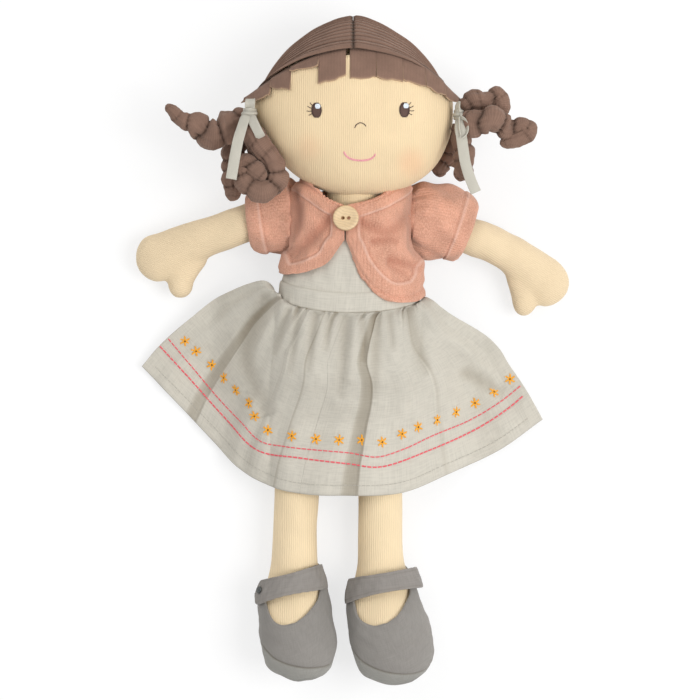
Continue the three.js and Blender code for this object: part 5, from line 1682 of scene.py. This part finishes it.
class RAGDOLL_OT_shoes(bpy.types.Operator):
    """Sews the shoes with their straps and press studs"""

    bl_idname = "ragdoll.shoes"
    bl_label = "Shoes"

    def execute(self, context):
        for side in SIDES:
            form = LEGS[side]
            toe = np.array(SOLE_TOE[side])
            slope = np.array(SOLE_NORMAL[side]) / np.linalg.norm(SOLE_NORMAL[side])

            def place(u, v):
                angle = u * math.tau
                height = np.degrees(np.arcsin(np.clip(np.sin(angle), -1, 1)))
                slant = -np.cos(angle) * STRAP_REACH * STRAP_SLOPE[side]
                start = form.place_at_y(OPENING(height) + slant)
                along = mix(start, 1, v)
                point = form.at(along, angle, SHOE_OUTSIDE)
                wrinkle = unevenness(point, 11, 61 if side == "right" else 62) * 0.3
                wrinkle = wrinkle + unevenness(point, 5, 63) * 0.12
                away = away_from(form.read(form.line, along), point)
                seam = 0.5 * bell((point - toe) @ slope, 0.8)
                edge = 0.5 * smooth(1.6, 0.0, (along - start) * form.length)
                return above(0.4, point + away * (wrinkle - seam - edge)[..., None])

            # Painted shade in the seam between upper and sole
            def crease(u, v):
                distance = (place(u, v) - toe) @ slope
                return bell(distance, 0.55) * 0.8

            size = (math.tau * 20, form.length * 0.45)
            for kind, finish, facing in (("upper", "shoe", -1), ("sole", "sole", 1)):
                mesh = grid_mesh("shell", place, 120, 110, size, {"crease": crease})
                cut_mesh(mesh, toe, slope * facing)
                piece = add_object(f"{kind}_{side}", mesh, material(finish))
                thicken(piece, SHOE_CLOTH - 0.15)
                finish_piece(piece, f"leg_{side}", [f"shoe_{kind}_{side}"])
            self.strap(side, form)
        return {"FINISHED"}

    def strap(self, side, form):
        sewn, stud, free = STRAP_ANGLES[side]
        width = STRAP_WIDTH[side]
        middle = float(form.place_at_y(STRAP_MIDDLE_Y))
        half = width / 2
        girth = math.radians(abs(free - sewn)) * 19.0

        def centre(angle):
            x = -np.cos(angle) * STRAP_REACH
            return middle - (x * STRAP_SLOPE[side]) / form.length

        def place(u, v):
            angle = np.radians(mix(sewn, free, u))
            underside = mix(STRAP_SEWN - 0.9, STRAP_INSIDE, smooth(0, 0.5, u))
            from_end = (1 - u) * girth
            round_end = np.sqrt(np.clip(1 - np.clip(1 - from_end / half, 0, 1) ** 2, 0.003, 1))
            edge = 0.3 * smooth(0.14, 0.0, np.minimum(v, 1 - v))
            across = (v - 0.5) * width * round_end * (1 + 0.34 * np.maximum(np.sin(angle), 0))
            wrinkle = 0.16 * np.sin(u * 30 + v * 3) + 0.1 * np.sin(u * 71 - v * 9)
            lift = underside + STRAP_CLOTH - edge + wrinkle
            return form.at(centre(angle) + across / form.length, angle, lift)

        # Darker lines 1.3 mm in from both edges, and painted shade at the sewn end
        def crease(u, v):
            line = np.minimum(v, 1 - v) * width
            return bell(line - 1.3, 0.25) * 0.35 + smooth(0.03, 0.0, u) * 0.8

        size, masks = (girth, width), {"crease": crease}
        piece = grid_piece(f"strap_cloth_{side}", "strap", place, 90, 26, size, masks, 0.001)
        thicken(piece, STRAP_CLOTH)
        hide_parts(f"shoe_strap_{side}")
        seam, tip = (place(np.array([u]), np.array([0.5]))[0] * MM for u in (0.0, 1.0))
        loose = mix(seam, tip, 0.78)
        tuple(seam)
        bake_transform(piece)

        angle = math.radians(stud)
        at = float(centre(angle))
        place_of = lambda u, a, grow: form.at(np.array(u), np.array(a), grow)
        around = place_of(at, angle + 0.01, STRAP_INSIDE) - place_of(at, angle - 0.01, STRAP_INSIDE)
        along = place_of(at + 0.01, angle, STRAP_INSIDE) - place_of(at - 0.01, angle, STRAP_INSIDE)
        outward = np.cross(around, along)
        outward /= np.linalg.norm(outward)
        if outward[0] * math.cos(angle) > 0:
            outward = -outward
        turn = np.array(Vector((0, 0, 1)).rotation_difference(Vector(outward)).to_matrix())
        for kind, profile, grow, body in (
            ("base", STUD_BASE, SHOE_OUTSIDE + LAYER_GAP, f"leg_{side}"),
            ("cap", STUD_CAP, STRAP_INSIDE + STRAP_CLOTH + LAYER_GAP, f"strap_{side}"),
        ):
            shape, steps, rows = lathe(profile, 32)
            origin = form.at(np.array(at), np.array(angle), grow)
            spot = lambda u, v: shape(u, v) @ turn.T + origin
            piece = grid_piece(f"stud_{kind}_{side}", "metal", spot, steps, rows, (8, 4))
            finish_piece(piece, body, [f"shoe_stud_{kind}_{side}"])


# Dress


def waist_line(x):
    across = np.minimum(np.abs(x) / WAIST_HALF_WIDTH, 1)
    return WAIST_Y - WAIST_DIP * (1 - across**2) ** 0.75


def around_body(angle, height, grow, y_front):
    """A point round the body at an angle, where height is its distance above a line of the front."""
    y = np.full(np.shape(angle), WAIST_Y)
    for _ in range(4):
        point = TORSO.at(TORSO.place_at_y(y), angle, grow)
        line = np.where(np.sin(angle) > -0.05, y_front(point[..., 0]), WAIST_Y)
        y = y + (line + height - point[..., 1])
    return TORSO.at(TORSO.place_at_y(y), angle, grow)


class RAGDOLL_OT_dress_top(bpy.types.Operator):
    """Makes the bodice and the waistband of the dress"""

    bl_idname = "ragdoll.dress_top"
    bl_label = "Bodice and waistband"

    def execute(self, context):
        outside = LAYER_GAP + COTTON

        def band(u, v):
            angle = u * math.tau
            height = mix(0.0, WAISTBAND_HEIGHT, v)
            puckers = 0.22 * np.sin(u * 150 + 2 * np.sin(u * 31)) * (1 - smooth(0.0, 0.45, v))
            edge = 0.45 * smooth(0.4, 0.85, v) - 0.5 * smooth(0.1, 0.0, v) - 0.3 * smooth(0.9, 1.0, v)
            point = around_body(angle, height, outside, waist_line)
            ripple = unevenness(point, 12, 71) * 0.25
            return around_body(angle, height, outside + puckers + edge + ripple, waist_line)

        # Painted shade along the lower edge, where the skirt is gathered on, and a little at the top
        def band_crease_shade(u, v):
            return np.maximum(0.8 * smooth(0.07, 0.0, v), 0.1 * smooth(0.97, 1.0, v))

        size, masks = (245, WAISTBAND_HEIGHT), {"crease": band_crease_shade}
        piece = grid_piece("waistband_cloth", "dress", band, 260, 22, size, masks)
        thicken(piece, COTTON - 0.2)
        finish_piece(piece, "torso", ["waistband"])

        def top(u, v):
            angle = u * math.tau
            low = around_body(angle, np.full(np.shape(angle), WAISTBAND_HEIGHT - 4.0), outside, waist_line)
            y = mix(low[..., 1], BODICE_TOP_Y, v)
            point = TORSO.at(TORSO.place_at_y(y), angle, outside - 0.3)
            pull = 0.4 * np.sin(point[..., 0] * 0.55 + 4 * v) * smooth(0.08, 0.2, v)
            pull = pull * (1 - smooth(0.2, 0.6, v))
            return TORSO.at(TORSO.place_at_y(y), angle, outside - 0.3 + pull * np.maximum(np.sin(angle), 0))

        # Painted shade along the front's seams and at the lower edge
        def top_crease_shade(u, v):
            x = np.abs(top(u, v)[..., 0] + 4.2)
            y = top(u, v)[..., 1]
            seam = bell(x - (6.0 + (56 - y) * 0.9), 0.8) * smooth(40, 44, y)
            return np.maximum(0.5 * seam * (np.sin(u * math.tau) > 0), smooth(0.03, 0.0, v))

        masks = {"crease": top_crease_shade}
        piece = grid_piece("bodice_cloth", "dress", top, 200, 60, (235, 50), masks)
        thicken(piece, COTTON - 0.3)
        finish_piece(piece, "torso", ["bodice"])
        return {"FINISHED"}


# Outline of the laid-out skirt in mm: the hem, and its two side edges from the waist down
HEM_LINE = [
    (-121.2, -10.0), (-104, -28), (-83.6, -49.4), (-66, -67.6), (-48, -77.6), (-30, -82),
    (-6.8, -83.2), (27.4, -82), (54.2, -72.4), (84.4, -58.7), (110, -40.6),
]
RIGHT_EDGE = [
    (-42.6, 27.7), (-45.0, 35.6), (-50.4, 38.9), (-59.8, 37.0), (-71.3, 32.4), (-80.0, 27.9),
    (-91.6, 18.7), (-102.6, 9.5), (-112.4, 0.3), (-121.2, -10.0),
]
LEFT_EDGE = [
    (38.7, 27.7), (40.8, 30.6), (45.6, 28.6), (51.0, 24.2), (58.8, 18.9), (75.0, 9.6), (84.8, 0.5),
    (90.6, -8.7), (96.9, -17.9), (102.6, -27.1), (110, -40.6),
]
SKIRT_MIDDLE = 0.5
SKIRT_CLOTH = 0.8
HEM_WAVES = 11
HEM_INSET = 6.0
STAR_RAYS = 6
STAR_HEART = 0.42
FOLD_DEPTH = 1.6
SKIRT_LIFT = 3.4


def line_point(line, t):
    return through(line, np.ravel(t), 0).reshape(*np.shape(t), 2)


def skirt_point(u, v, top):
    """Where the laid-out cloth is, u across and v down, when its upper edge is at top."""
    hem = line_point(HEM_LINE, u)
    u, v = u[..., None], v[..., None]
    flat = mix(top, hem, v)
    for edge, near in ((RIGHT_EDGE, 1 - u), (LEFT_EDGE, u)):
        straight = mix(np.array(edge[0]), np.array(edge[-1]), v)
        flat = flat + (line_point(edge, v[..., 0]) - straight) * near**1.6
    return flat


def drape_height(x, y):
    """Height of the cloth over the body and the legs, and down to the back panel at the sides."""
    middle = mix(-7, -2, smooth(-40, 20, y))
    half_width = mix(39.5, 41.5, smooth(-60, 0, y))
    crest = mix(LEG_Z + LEG_RADIUS, 44.6, smooth(-46, -8, y)) + 2.2 * smooth(0, 24, y)
    low = COTTON + LAYER_GAP + COTTON + FOLD_DEPTH
    q = np.abs(x - middle) / half_width
    on_top = crest - (crest - low) * 0.36 * np.minimum(q, 1) ** 4
    flank = 1 - smooth(0.92, 1.95, q)
    puffed = 6.0 * smooth(-8, 18, y) * smooth(1.2, 1.7, q)
    return low + (on_top + LAYER_GAP + COTTON + SKIRT_LIFT - low) * flank + puffed


# Stitched lines and stars of the skirt, in points of the picture
UPPER_LINE = [
    (166, 336), (192, 367), (220, 400), (240, 421), (260, 441), (284, 446.5), (316, 450),
    (350, 453), (377, 457), (404, 449), (432, 436), (470, 420), (500, 402), (524, 383),
]
LOWER_LINE = [
    (157, 343), (190, 379), (226, 419), (257, 450), (300, 458), (350, 464), (380, 467), (430, 450),
    (478, 428), (506, 410), (530, 390),
]
STARS = [
    (185, 341), (196, 351), (212, 365), (224, 378), (236, 390), (249, 403), (254.5, 416),
    (268, 430), (292, 436), (316, 439), (339, 440), (362, 440), (382, 442), (402, 434), (418, 427),
    (437, 420), (456, 412), (475, 403), (494, 392), (510, 379),
]

# Folds that the picture shows: where each leaves the waist and where it ends, its width and depth in mm
SKIRT_FOLDS = [
    ((-49, 27), (-61, -1), (-48, -40), 5.0, -3.8), ((-40, 24), (-53, 2), (-60, -26), 4.2, 1.9),
    ((-36, 21.5), (-41, 8), (-44, -4), 2.2, -1.6), ((-30, 20.5), (-33, 3), (-35, -16), 2.4, -1.4),
    ((-20.5, 20), (-23, 5), (-25, -14), 2.4, -1.7), ((-13, 19.6), (-14, 9), (-15, -2), 2.0, -1.3),
    ((-4, 19.4), (-5, 0), (-7, -30), 3.2, -1.6), ((2, 19.6), (1, 2), (-2, -20), 3.4, 1.4),
    ((5.7, 19.8), (6.4, 6), (6, -8), 2.0, -1.4), ((14.2, 20.4), (13, 0), (12, -30), 3.0, -2.0),
    ((20.5, 21.2), (22, 9), (23, -2), 2.2, -1.3), ((32, 21.6), (37, 2), (43, -16), 3.4, -2.3),
    ((38.4, 25), (54, 6), (74, -8), 4.5, 2.0), ((66, -14), (76, -20), (88, -26), 3.5, -1.8),
    ((72, -8), (80, -14), (84, -24), 2.6, 1.3),
]


def relief(point, folds):
    """Height that folds add at a point, and how deep the point lies in one."""
    x, y = point[..., 0], point[..., 1]
    total = np.zeros(np.shape(x))
    depth = np.zeros(np.shape(x))
    for start, bend, end, width, height in folds:
        line = through([start, bend, end], np.linspace(0, 1, 24), 0.5)
        away = np.array([np.hypot(x - px, y - py) for px, py in line])
        along = np.argmin(away, axis=0) / 23
        shape = np.exp(-((np.min(away, axis=0) / width) ** 2)) * np.sqrt(1 - along**3)
        total += height * shape
        if height < 0:
            depth = np.maximum(depth, shape * min(-height / 2, 1))
    return total, depth


class RAGDOLL_OT_skirt(bpy.types.Operator):
    """Gathers the skirt and sews its stars, stitch lines and hem"""

    bl_idname = "ragdoll.skirt"
    bl_label = "Skirt"

    def execute(self, context):
        sizes = context.scene.rag_doll_sizes

        def gather_wave(u):
            """Gathers of uneven width and depth."""
            deep = 0.55 + 0.45 * np.sin(u * 41 + 2)
            return deep * np.sin(u * sizes.gathers * math.tau + 1.9 * np.sin(u * 23) + 1.3 * np.sin(u * 57))

        def gather_length(u):
            return 0.16 + 0.14 * np.sin(u * 67 + 1) + 0.1 * np.sin(u * 29)

        def place(u, v):
            angle = np.pi * (1 - u)
            top = around_body(angle, np.full(np.shape(u), 0.2), LAYER_GAP + COTTON, waist_line)
            flat = skirt_point(u, v, top[..., :2])
            x, y = flat[..., 0], flat[..., 1]
            edges = smooth(0, 0.06, u) * smooth(0, 0.06, 1 - u)
            fold = np.cos(u * HEM_WAVES * math.tau + 1.2 * np.sin(u * 19))
            fold = fold * mix(0.2, 0.65 * FOLD_DEPTH, v) * smooth(0, 0.3, v)
            folds, _ = relief(flat, SKIRT_FOLDS)
            z = mix(top[..., 2], drape_height(x, y), smooth(0, 0.3, v))
            reach = gather_length(u)
            small = gather_wave(u) * 1.1 * smooth(0.0, 0.02, v) * (1 - smooth(reach * 0.3, reach, v))
            fine = unevenness(np.stack([x, y, 0 * x], -1), 15, 81) * 0.4 * smooth(0.1, 0.4, v)
            fine = fine + unevenness(np.stack([x, y, 0 * x], -1), 6, 82) * 0.12
            z = z + (fold + folds * smooth(0.0, 0.1, v) + fine + small) * edges
            z = z + 0.35 * smooth(0.885, 0.9, v)
            return np.stack([x, y, np.maximum(z - 0.5 * smooth(0.985, 1.0, v), 3.0)], -1)

        # Painted shade in the gathers' valleys, in the deep folds and along the waist
        def crease(u, v):
            _, deep = relief(place(u, v), SKIRT_FOLDS)
            valley = smooth(-0.15, -0.8, gather_wave(u)) * (1 - smooth(0.03, gather_length(u), v)) * 0.6
            return np.clip(valley + 0.42 * deep * smooth(0.0, 0.06, v) + 0.7 * smooth(0.01, 0.0, v), 0, 1)

        halves = []
        for side, first, last in (("right", 0.0, SKIRT_MIDDLE), ("left", SKIRT_MIDDLE, 1.0)):
            part = lambda u, v: place(mix(first, last, u), v)
            dark = lambda u, v: crease(mix(first, last, u), v)
            masks = {"crease": dark}
            piece = grid_piece(f"skirt_{side}", "dress", part, 230, 150, (190, 100), masks, 0.002)
            halves.append(thicken(piece, SKIRT_CLOTH, round_edge=False))
        surface = Surface(*halves)
        trims = []
        length = sizes.stitch_length / MM
        for name, line, thick in (("upper", UPPER_LINE, 0.7), ("lower", LOWER_LINE, 0.9)):
            spots, normals = surface.trace(line, 0.15)
            self.trim(f"coral_{name}", dashes(spots, normals, length, 0.7), thick, "coral thread", trims)
        hem = line_point(HEM_LINE, np.linspace(0.01, 0.99, 260))
        inward = unit(np.stack([-hem[:, 0] - 4, 24 - hem[:, 1]], 1))
        found = [surface.under(x, y, 0.1) for x, y in hem + inward * HEM_INSET]
        spots, normals = zip(*[f for f in found if f])
        self.trim("hem_stitches", dashes(spots, normals, 1.9, 0.8), 0.42, "linen thread", trims)
        self.stars([surface.seen_at(*star, 0.25) for star in STARS], sizes.star_size / MM / 2, trims)

        for side, piece in zip(SIDES, halves):
            if side == "right":
                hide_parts("skirt_front")
            self.follow_leg(piece, side)
        for piece, side in trims:
            self.follow_leg(piece, side)

        def back(u, v):
            top = np.stack([mix(-41, 37.4, u), np.full(np.shape(u), WAIST_Y - 5.5)], -1)
            flat = skirt_point(u, v, top)
            inset = unit(np.array([-4.0, 0.0]) - flat)
            flat = flat + inset * (2.0 * np.maximum(v, smooth(0.1, 0, np.minimum(u, 1 - u))))[..., None]
            return np.stack([flat[..., 0], flat[..., 1], 1.0 + 0.25 * np.sin(u * 60) * (1 - v)], -1)

        masks = {"crease": no_crease}
        piece = grid_piece("skirt_back_cloth", "dress", back, 120, 50, (230, 100), masks, 0.002)
        thicken(piece, SKIRT_CLOTH, round_edge=False)
        finish_piece(piece, "torso", ["skirt_back"])
        return {"FINISHED"}

    def flat_area(self, piece):
        """Half of the piece's whole surface, because its cloth has two faces."""
        return sum(p.area for p in piece.data.polygons) / 2

    def stars(self, places, reach, trims):
        """Stars of six rays, each ray of two threads, with a heart of darker thread."""
        rays = []
        hearts = []
        for k, (spot, up) in enumerate(p for p in places if p):
            for ray in range(STAR_RAYS):
                turn = math.radians(360 / STAR_RAYS * ray + 30 + 11 * math.sin(k * 2.3))
                flat = np.array([math.cos(turn), math.sin(turn), 0.0])
                flat -= up * (flat @ up)
                flat /= np.linalg.norm(flat)
                beside = np.cross(up, flat)
                for shift, long in ((-0.22, 0.86), (0.22, 1.0)):
                    middle = spot + flat * (STAR_HEART + long * reach) / 2 + beside * shift
                    rays.append((middle, flat, up, long * reach - STAR_HEART))
                hearts.append((spot + up * 0.14 + flat * 0.25, beside, up, 0.8))
        self.trim("gold_stars", rays, 0.6, "gold thread", trims)
        self.trim("star_hearts", hearts, 0.42, "brown thread", trims)

    def trim(self, name, stitches, thickness, finish, trims):
        """Stitches on the skirt, split where its two halves meet."""
        middle = line_point(HEM_LINE, np.array([SKIRT_MIDDLE]))[0][0]
        for side in SIDES:
            chosen = [s for s in stitches if (s[0][0] < middle) == (side == "right")]
            if chosen:
                trims.append((sew(f"{name}_{side}", chosen, thickness, material(finish)), side))

    def follow_leg(self, piece, side):
        """Bakes the piece's place into its mesh."""
        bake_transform(piece)


# Jacket: the form it lies on, and the outlines of its two fronts in mm, seen from the front
JACKET_INSIDE = LAYER_GAP + COTTON + LAYER_GAP
JACKET_FORM = Form(
    [
        (-6.6, -26, 23.2, 37, 18.5), (-5, -4, 24, 37.5, 20.6), (-2, 24, 24.8, 39, 21.2),
        (-0.6, 42, 24.8, 37.5, 21.2), (0, 56, 24.8, 35.4, 21.2), (0, 70, 24.6, 35.4, 20.6),
        (0, 86, 24.2, 35.6, 19.4), (0, 99, 23.8, 34, 18),
    ],
    0, 13, 2.3,
)
FRONT_EDGE = {
    "right": [
        (-4.3, 79), (-4.3, 61.0), (-7.4, 56.6), (-12.5, 48.5), (-20.5, 43.2), (-30.2, 40.5),
        (-37.6, 40.2), (-41.6, 43.6), (-45, 51),
    ],
    "left": [
        (-3.5, 79), (-3.5, 61.0), (-0.6, 54.4), (3.4, 45.6), (10.3, 36.5), (20.5, 29.6),
        (30.2, 29.1), (37.4, 31.6), (41, 36), (45, 45),
    ],
}
NECKLINE = {
    "right": [(-4.3, 79), (-11.4, 82.0), (-21.5, 89.2), (-30, 94.8), (-37, 96.6), (-48, 96.6)],
    "left": [(-3.5, 79), (3.4, 80.6), (18, 86.2), (28, 92.4), (35, 95.6), (48, 95.6)],
}
NECK_BAND = 7.0
ARMHOLE_CUT = 0.31
CHEST_Y = 62.0
CHEST_HALF_WIDTH = 35.4
FRONT_HALF_GAP = 0.4
SLEEVES = {
    "right": [
        (-30.4, 76.4, 21.6, 18.4, 15.8), (-34.4, 76.2, 21, 20.9, 17.2), (-41, 75.6, 21, 21.6, 17.2),
        (-52, 73.8, 20.6, 18.2, 16.0), (-59.2, 73, 20.2, 15.4, 14.4),
    ],
    "left": [
        (30.4, 75.2, 21.6, 17.2, 15.8), (34.4, 74.8, 21, 19.2, 17.2), (43, 73.6, 21, 21.2, 17.2),
        (56, 71.2, 20.4, 20, 16.0), (66.4, 67.4, 19, 17.4, 14.4),
    ],
}


def line_distance(point, line):
    """How far points lie from a bent line, in mm."""
    x, y = point[..., 0], point[..., 1]
    path = through(line, np.linspace(0, 1, 14 * len(line)), 0.5)
    nearest = np.full(np.shape(x), 1e3)
    for px, py in path:
        nearest = np.minimum(nearest, np.hypot(x - px, y - py))
    return nearest


class RAGDOLL_OT_jacket(bpy.types.Operator):
    """Makes the short velour jacket"""

    bl_idname = "ragdoll.jacket"
    bl_label = "Jacket"

    def execute(self, context):
        hem = context.scene.rag_doll_sizes.hem_width / MM
        outside = JACKET_INSIDE + VELOUR
        for side in SIDES:
            out = -1 if side == "right" else 1
            low = curve_through(FRONT_EDGE[side][1:])
            high = curve_through(NECKLINE[side])
            share = abs(FRONT_OPENING_X + out * FRONT_HALF_GAP) / (CHEST_HALF_WIDTH + outside)
            start = math.acos(-(share ** (JACKET_FORM.power / 2)))
            end = math.pi if side == "right" else 0.0

            def lay(u, v):
                """Angle round the body and y of each point. The cloth ends sooner at the armhole."""
                angle = mix(start, end, u)
                chest = JACKET_FORM.place_at_y(np.full(np.shape(u), CHEST_Y))
                x = JACKET_FORM.at(chest, angle, outside)[..., 0]
                y = mix(low(x), high(x), v)
                kept = 1 - ARMHOLE_CUT * smooth(50, 58, y) * smooth(0.3, 1, u)
                return start + (angle - start) * kept, y

            def lie(u, v):
                """The points on the form, and how far they are from the nearest edge."""
                angle, y = lay(u, v)
                point = JACKET_FORM.at(JACKET_FORM.place_at_y(y), angle, outside)
                from_hem = line_distance(point, FRONT_EDGE[side])
                from_neck = line_distance(point, NECKLINE[side][:4]) * hem / NECK_BAND
                return point, np.minimum(from_hem, from_neck)

            def place(u, v):
                angle, y = lay(u, v)
                point, edge = lie(u, v)
                band = 0.6 * (1 - smooth(hem - 0.8, hem + 0.6, edge))
                groove = -0.5 * bell(edge - hem, 0.7)
                rolled = -1.2 * smooth(1.8, 0.0, edge)
                folds, _ = relief(point, JACKET_FOLDS[side])
                ripple = unevenness(point, 13, 91 if side == "right" else 92) * 0.5
                ripple = ripple + unevenness(point, 5, 93) * 0.16
                inside = smooth(0.0, 6.0, edge)
                grow = outside + band + groove + rolled + (folds + ripple) * inside
                return JACKET_FORM.at(JACKET_FORM.place_at_y(y), angle, grow)

            # Painted shade in the hem's groove, in the folds and at the side
            def crease(u, v):
                point, edge = lie(u, v)
                _, deep = relief(point, JACKET_FOLDS[side])
                groove = 0.3 * bell(edge - hem, 0.5)
                return np.maximum(np.maximum(groove, 0.5 * deep), 0.3 * smooth(0.96, 1.0, u))

            # Paler in a line just inside the hem's groove
            def rubbed(u, v):
                _, edge = lie(u, v)
                return 0.9 * bell(edge - hem + 1.2, 0.7)

            masks = {"crease": crease, "rubbed": rubbed}
            piece = grid_piece(f"front_{side}", "jacket", place, 130, 110, (52, 50), masks, 0.002)
            thicken(piece, VELOUR - 0.3)
            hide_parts(f"jacket_front_{side}")
            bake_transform(piece)
            self.sleeve(side, hem)

        def back(u, v):
            angle = mix(-0.02, -math.pi + 0.02, u)
            y = mix(44, 88, v)
            point = TORSO.at(TORSO.place_at_y(y), angle, outside)
            groove = -0.45 * bell(v * 44 - hem, 0.6)
            ripple = unevenness(point, 14, 95) * 0.3
            grow = outside + groove + ripple
            return above(0.2 + VELOUR, TORSO.at(TORSO.place_at_y(y), angle, grow))

        masks = {"crease": no_crease, "rubbed": no_crease}
        piece = grid_piece("jacket_back_cloth", "jacket", back, 120, 60, (110, 44), masks)
        thicken(piece, VELOUR - 0.3)
        finish_piece(piece, "torso", ["jacket_back"])
        return {"FINISHED"}

    def sleeve(self, side, hem):
        form = Form(SLEEVES[side])
        seed = 97 if side == "right" else 98

        def lift(u, v):
            angle = u * math.tau
            from_hem = (1 - v) * form.length
            puff = 0.9 * np.sin(v * math.pi) ** 0.7
            gathers = 0.7 * np.sin(angle * 13 + 2 * np.sin(angle * 3)) * (1 - smooth(0.1, 0.5, v))
            band = 0.6 * (1 - smooth(hem - 0.8, hem + 0.6, from_hem))
            groove = -0.5 * bell(from_hem - hem, 0.6)
            rolled = -1.2 * smooth(1.8, 0.0, from_hem)
            return puff + gathers * smooth(0, 0.1, v) + band + groove + rolled

        def place(u, v):
            angle = u * math.tau
            ripple = unevenness(form.at(v, angle, 0.0), 12, seed) * 0.9
            return above(3.2, form.at(v, angle, lift(u, v) + ripple * smooth(0, 0.15, v)))

        # Painted shade in the hem's groove and where the sleeve is sewn in
        def crease(u, v):
            groove = 0.3 * bell((1 - v) * form.length - hem, 0.5)
            return np.maximum(groove, 0.5 * smooth(0.06, 0.0, v))

        # Paler in a line just inside the hem's groove
        def rubbed(u, v):
            return 0.9 * bell((1 - v) * form.length - hem + 1.2, 0.7)

        masks = {"crease": crease, "rubbed": rubbed}
        size = (110, form.length)
        piece = grid_piece(f"sleeve_{side}_cloth", "jacket", place, 150, 60, size, masks, 0.004)
        thicken(piece, VELOUR - 0.3)
        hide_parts(f"sleeve_{side}")
        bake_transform(piece)


# Soft folds of the fronts: start, bend and end, then width and height in mm
JACKET_FOLDS = {
    "right": [
        ((-12, 74), (-26, 60), (-36, 52), 3.4, -2.1), ((-8, 64), (-18, 56), (-30, 46), 3.0, 1.2),
        ((-33, 88), (-31, 74), (-34, 60), 3.0, -1.8), ((-20, 86), (-16, 78), (-9, 72), 2.6, 1.0),
    ],
    "left": [
        ((4, 72), (20, 66), (34, 76), 3.4, -1.8), ((12, 60.4), (20, 61.6), (27, 60.6), 2.4, -1.9),
        ((22, 50), (30, 48), (39, 45.6), 2.6, -2.0), ((21, 47), (27, 44), (33, 42), 2.2, -1.2),
        ((36, 88), (35, 70), (37, 50), 3.0, -1.8), ((6, 60), (14, 46), (26, 36), 3.4, 1.0),
    ],
}


# Button, in mm and degrees: x of its two holes, and its turn about the x axis
BUTTON_HOLES = (-1.6, 1.6)
BUTTON_TILT = -14


class RAGDOLL_OT_button(bpy.types.Operator):
    """Turns the wooden button"""

    bl_idname = "ragdoll.button"
    bl_label = "Button"

    def execute(self, context):
        low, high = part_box("button")
        centre = np.array((low + high) / 2) / MM
        radius = (high.x - low.x) / 2 / MM
        rim = [(0.9, 0), (0.25, 0.35), (0, 1.0), (0, 2.0), (0.2, 2.6), (0.8, 3.0)]
        dish = [(1.6, 3.0), (2.4, 2.75), (3.6, 2.45), (5.2, 2.3)]
        profile = [(0, 0), *((radius - inset, z) for inset, z in rim + dish), (0, 2.25)]
        shape, steps, _ = lathe(profile, 96)
        slope = math.radians(BUTTON_TILT)
        turn = np.array(Matrix.Rotation(slope, 3, "X"))
        fine = np.linspace(0, 1, 67)

        def place(u, v):
            point = shape(u, v)
            x, y, z = point[..., 0], point[..., 1], point[..., 2]
            on_top = smooth(1.5, 2.0, z)
            eye = np.exp(-((x / 4.2) ** 2) - ((y / 1.7) ** 2)) * 0.5
            holes = sum(np.exp(-((np.hypot(x - dx, y) / 0.85) ** 8)) * 1.7 for dx in BUTTON_HOLES)
            z = z - on_top * (eye + holes)
            point = np.stack([x, y, z - 1.5], -1)
            return point @ turn.T + centre

        def crease(u, v):
            point = shape(u, v)
            x, y = point[..., 0], point[..., 1]
            # Painted shade in the holes
            holes = sum(np.exp(-((np.hypot(x - dx, y) / 1.05) ** 6)) for dx in BUTTON_HOLES)
            # Darker towards the rim
            pale_tufts_and_dark_rim = smooth(radius - 0.35, radius - 0.05, np.hypot(x, y)) * 0.35
            return np.maximum(np.clip(holes, 0, 1) * (point[..., 2] > 1), pale_tufts_and_dark_rim)

        masks = {"crease": crease}
        piece = grid_piece("wooden_button", "wood", place, steps, fine, (45, 15), masks)
        finish_piece(piece, "torso", ["button"])
        return {"FINISHED"}


STEPS = (
    RAGDOLL_OT_camera,
    RAGDOLL_OT_stage,
    RAGDOLL_OT_head,
    RAGDOLL_OT_face,
    RAGDOLL_OT_hair_cap,
    RAGDOLL_OT_fringe,
    RAGDOLL_OT_curls,
    RAGDOLL_OT_ribbons,
    RAGDOLL_OT_body,
    RAGDOLL_OT_limbs,
    RAGDOLL_OT_shoes,
    RAGDOLL_OT_dress_top,
    RAGDOLL_OT_skirt,
    RAGDOLL_OT_jacket,
    RAGDOLL_OT_button,
)


class RAGDOLL_PT_panel(bpy.types.Panel):
    """Lists the doll's pieces, its sizes and its colours"""

    bl_idname = "RAGDOLL_PT_panel"
    bl_label = "Rag doll"
    bl_space_type = "VIEW_3D"
    bl_region_type = "UI"
    bl_category = "Rag doll"

    def draw(self, context):
        layout = self.layout
        for group in (context.scene.rag_doll_sizes, context.scene.rag_doll_colours):
            for key in group.__annotations__:
                layout.prop(group, key)
        for step in STEPS:
            layout.operator(step.bl_idname)


CLASSES = (DollSizes, DollColours, *STEPS, RAGDOLL_PT_panel)


def register():
    for item in CLASSES:
        bpy.utils.register_class(item)
    bpy.types.Scene.rag_doll_sizes = bpy.props.PointerProperty(type=DollSizes)
    bpy.types.Scene.rag_doll_colours = bpy.props.PointerProperty(type=DollColours)


def unregister():
    del bpy.types.Scene.rag_doll_colours
    del bpy.types.Scene.rag_doll_sizes
    for item in reversed(CLASSES):
        bpy.utils.unregister_class(item)


def main():
    register()
    for step in STEPS:
        group, action = step.bl_idname.split(".")
        getattr(getattr(bpy.ops, group), action)()


if __name__ == "__main__":
    main()
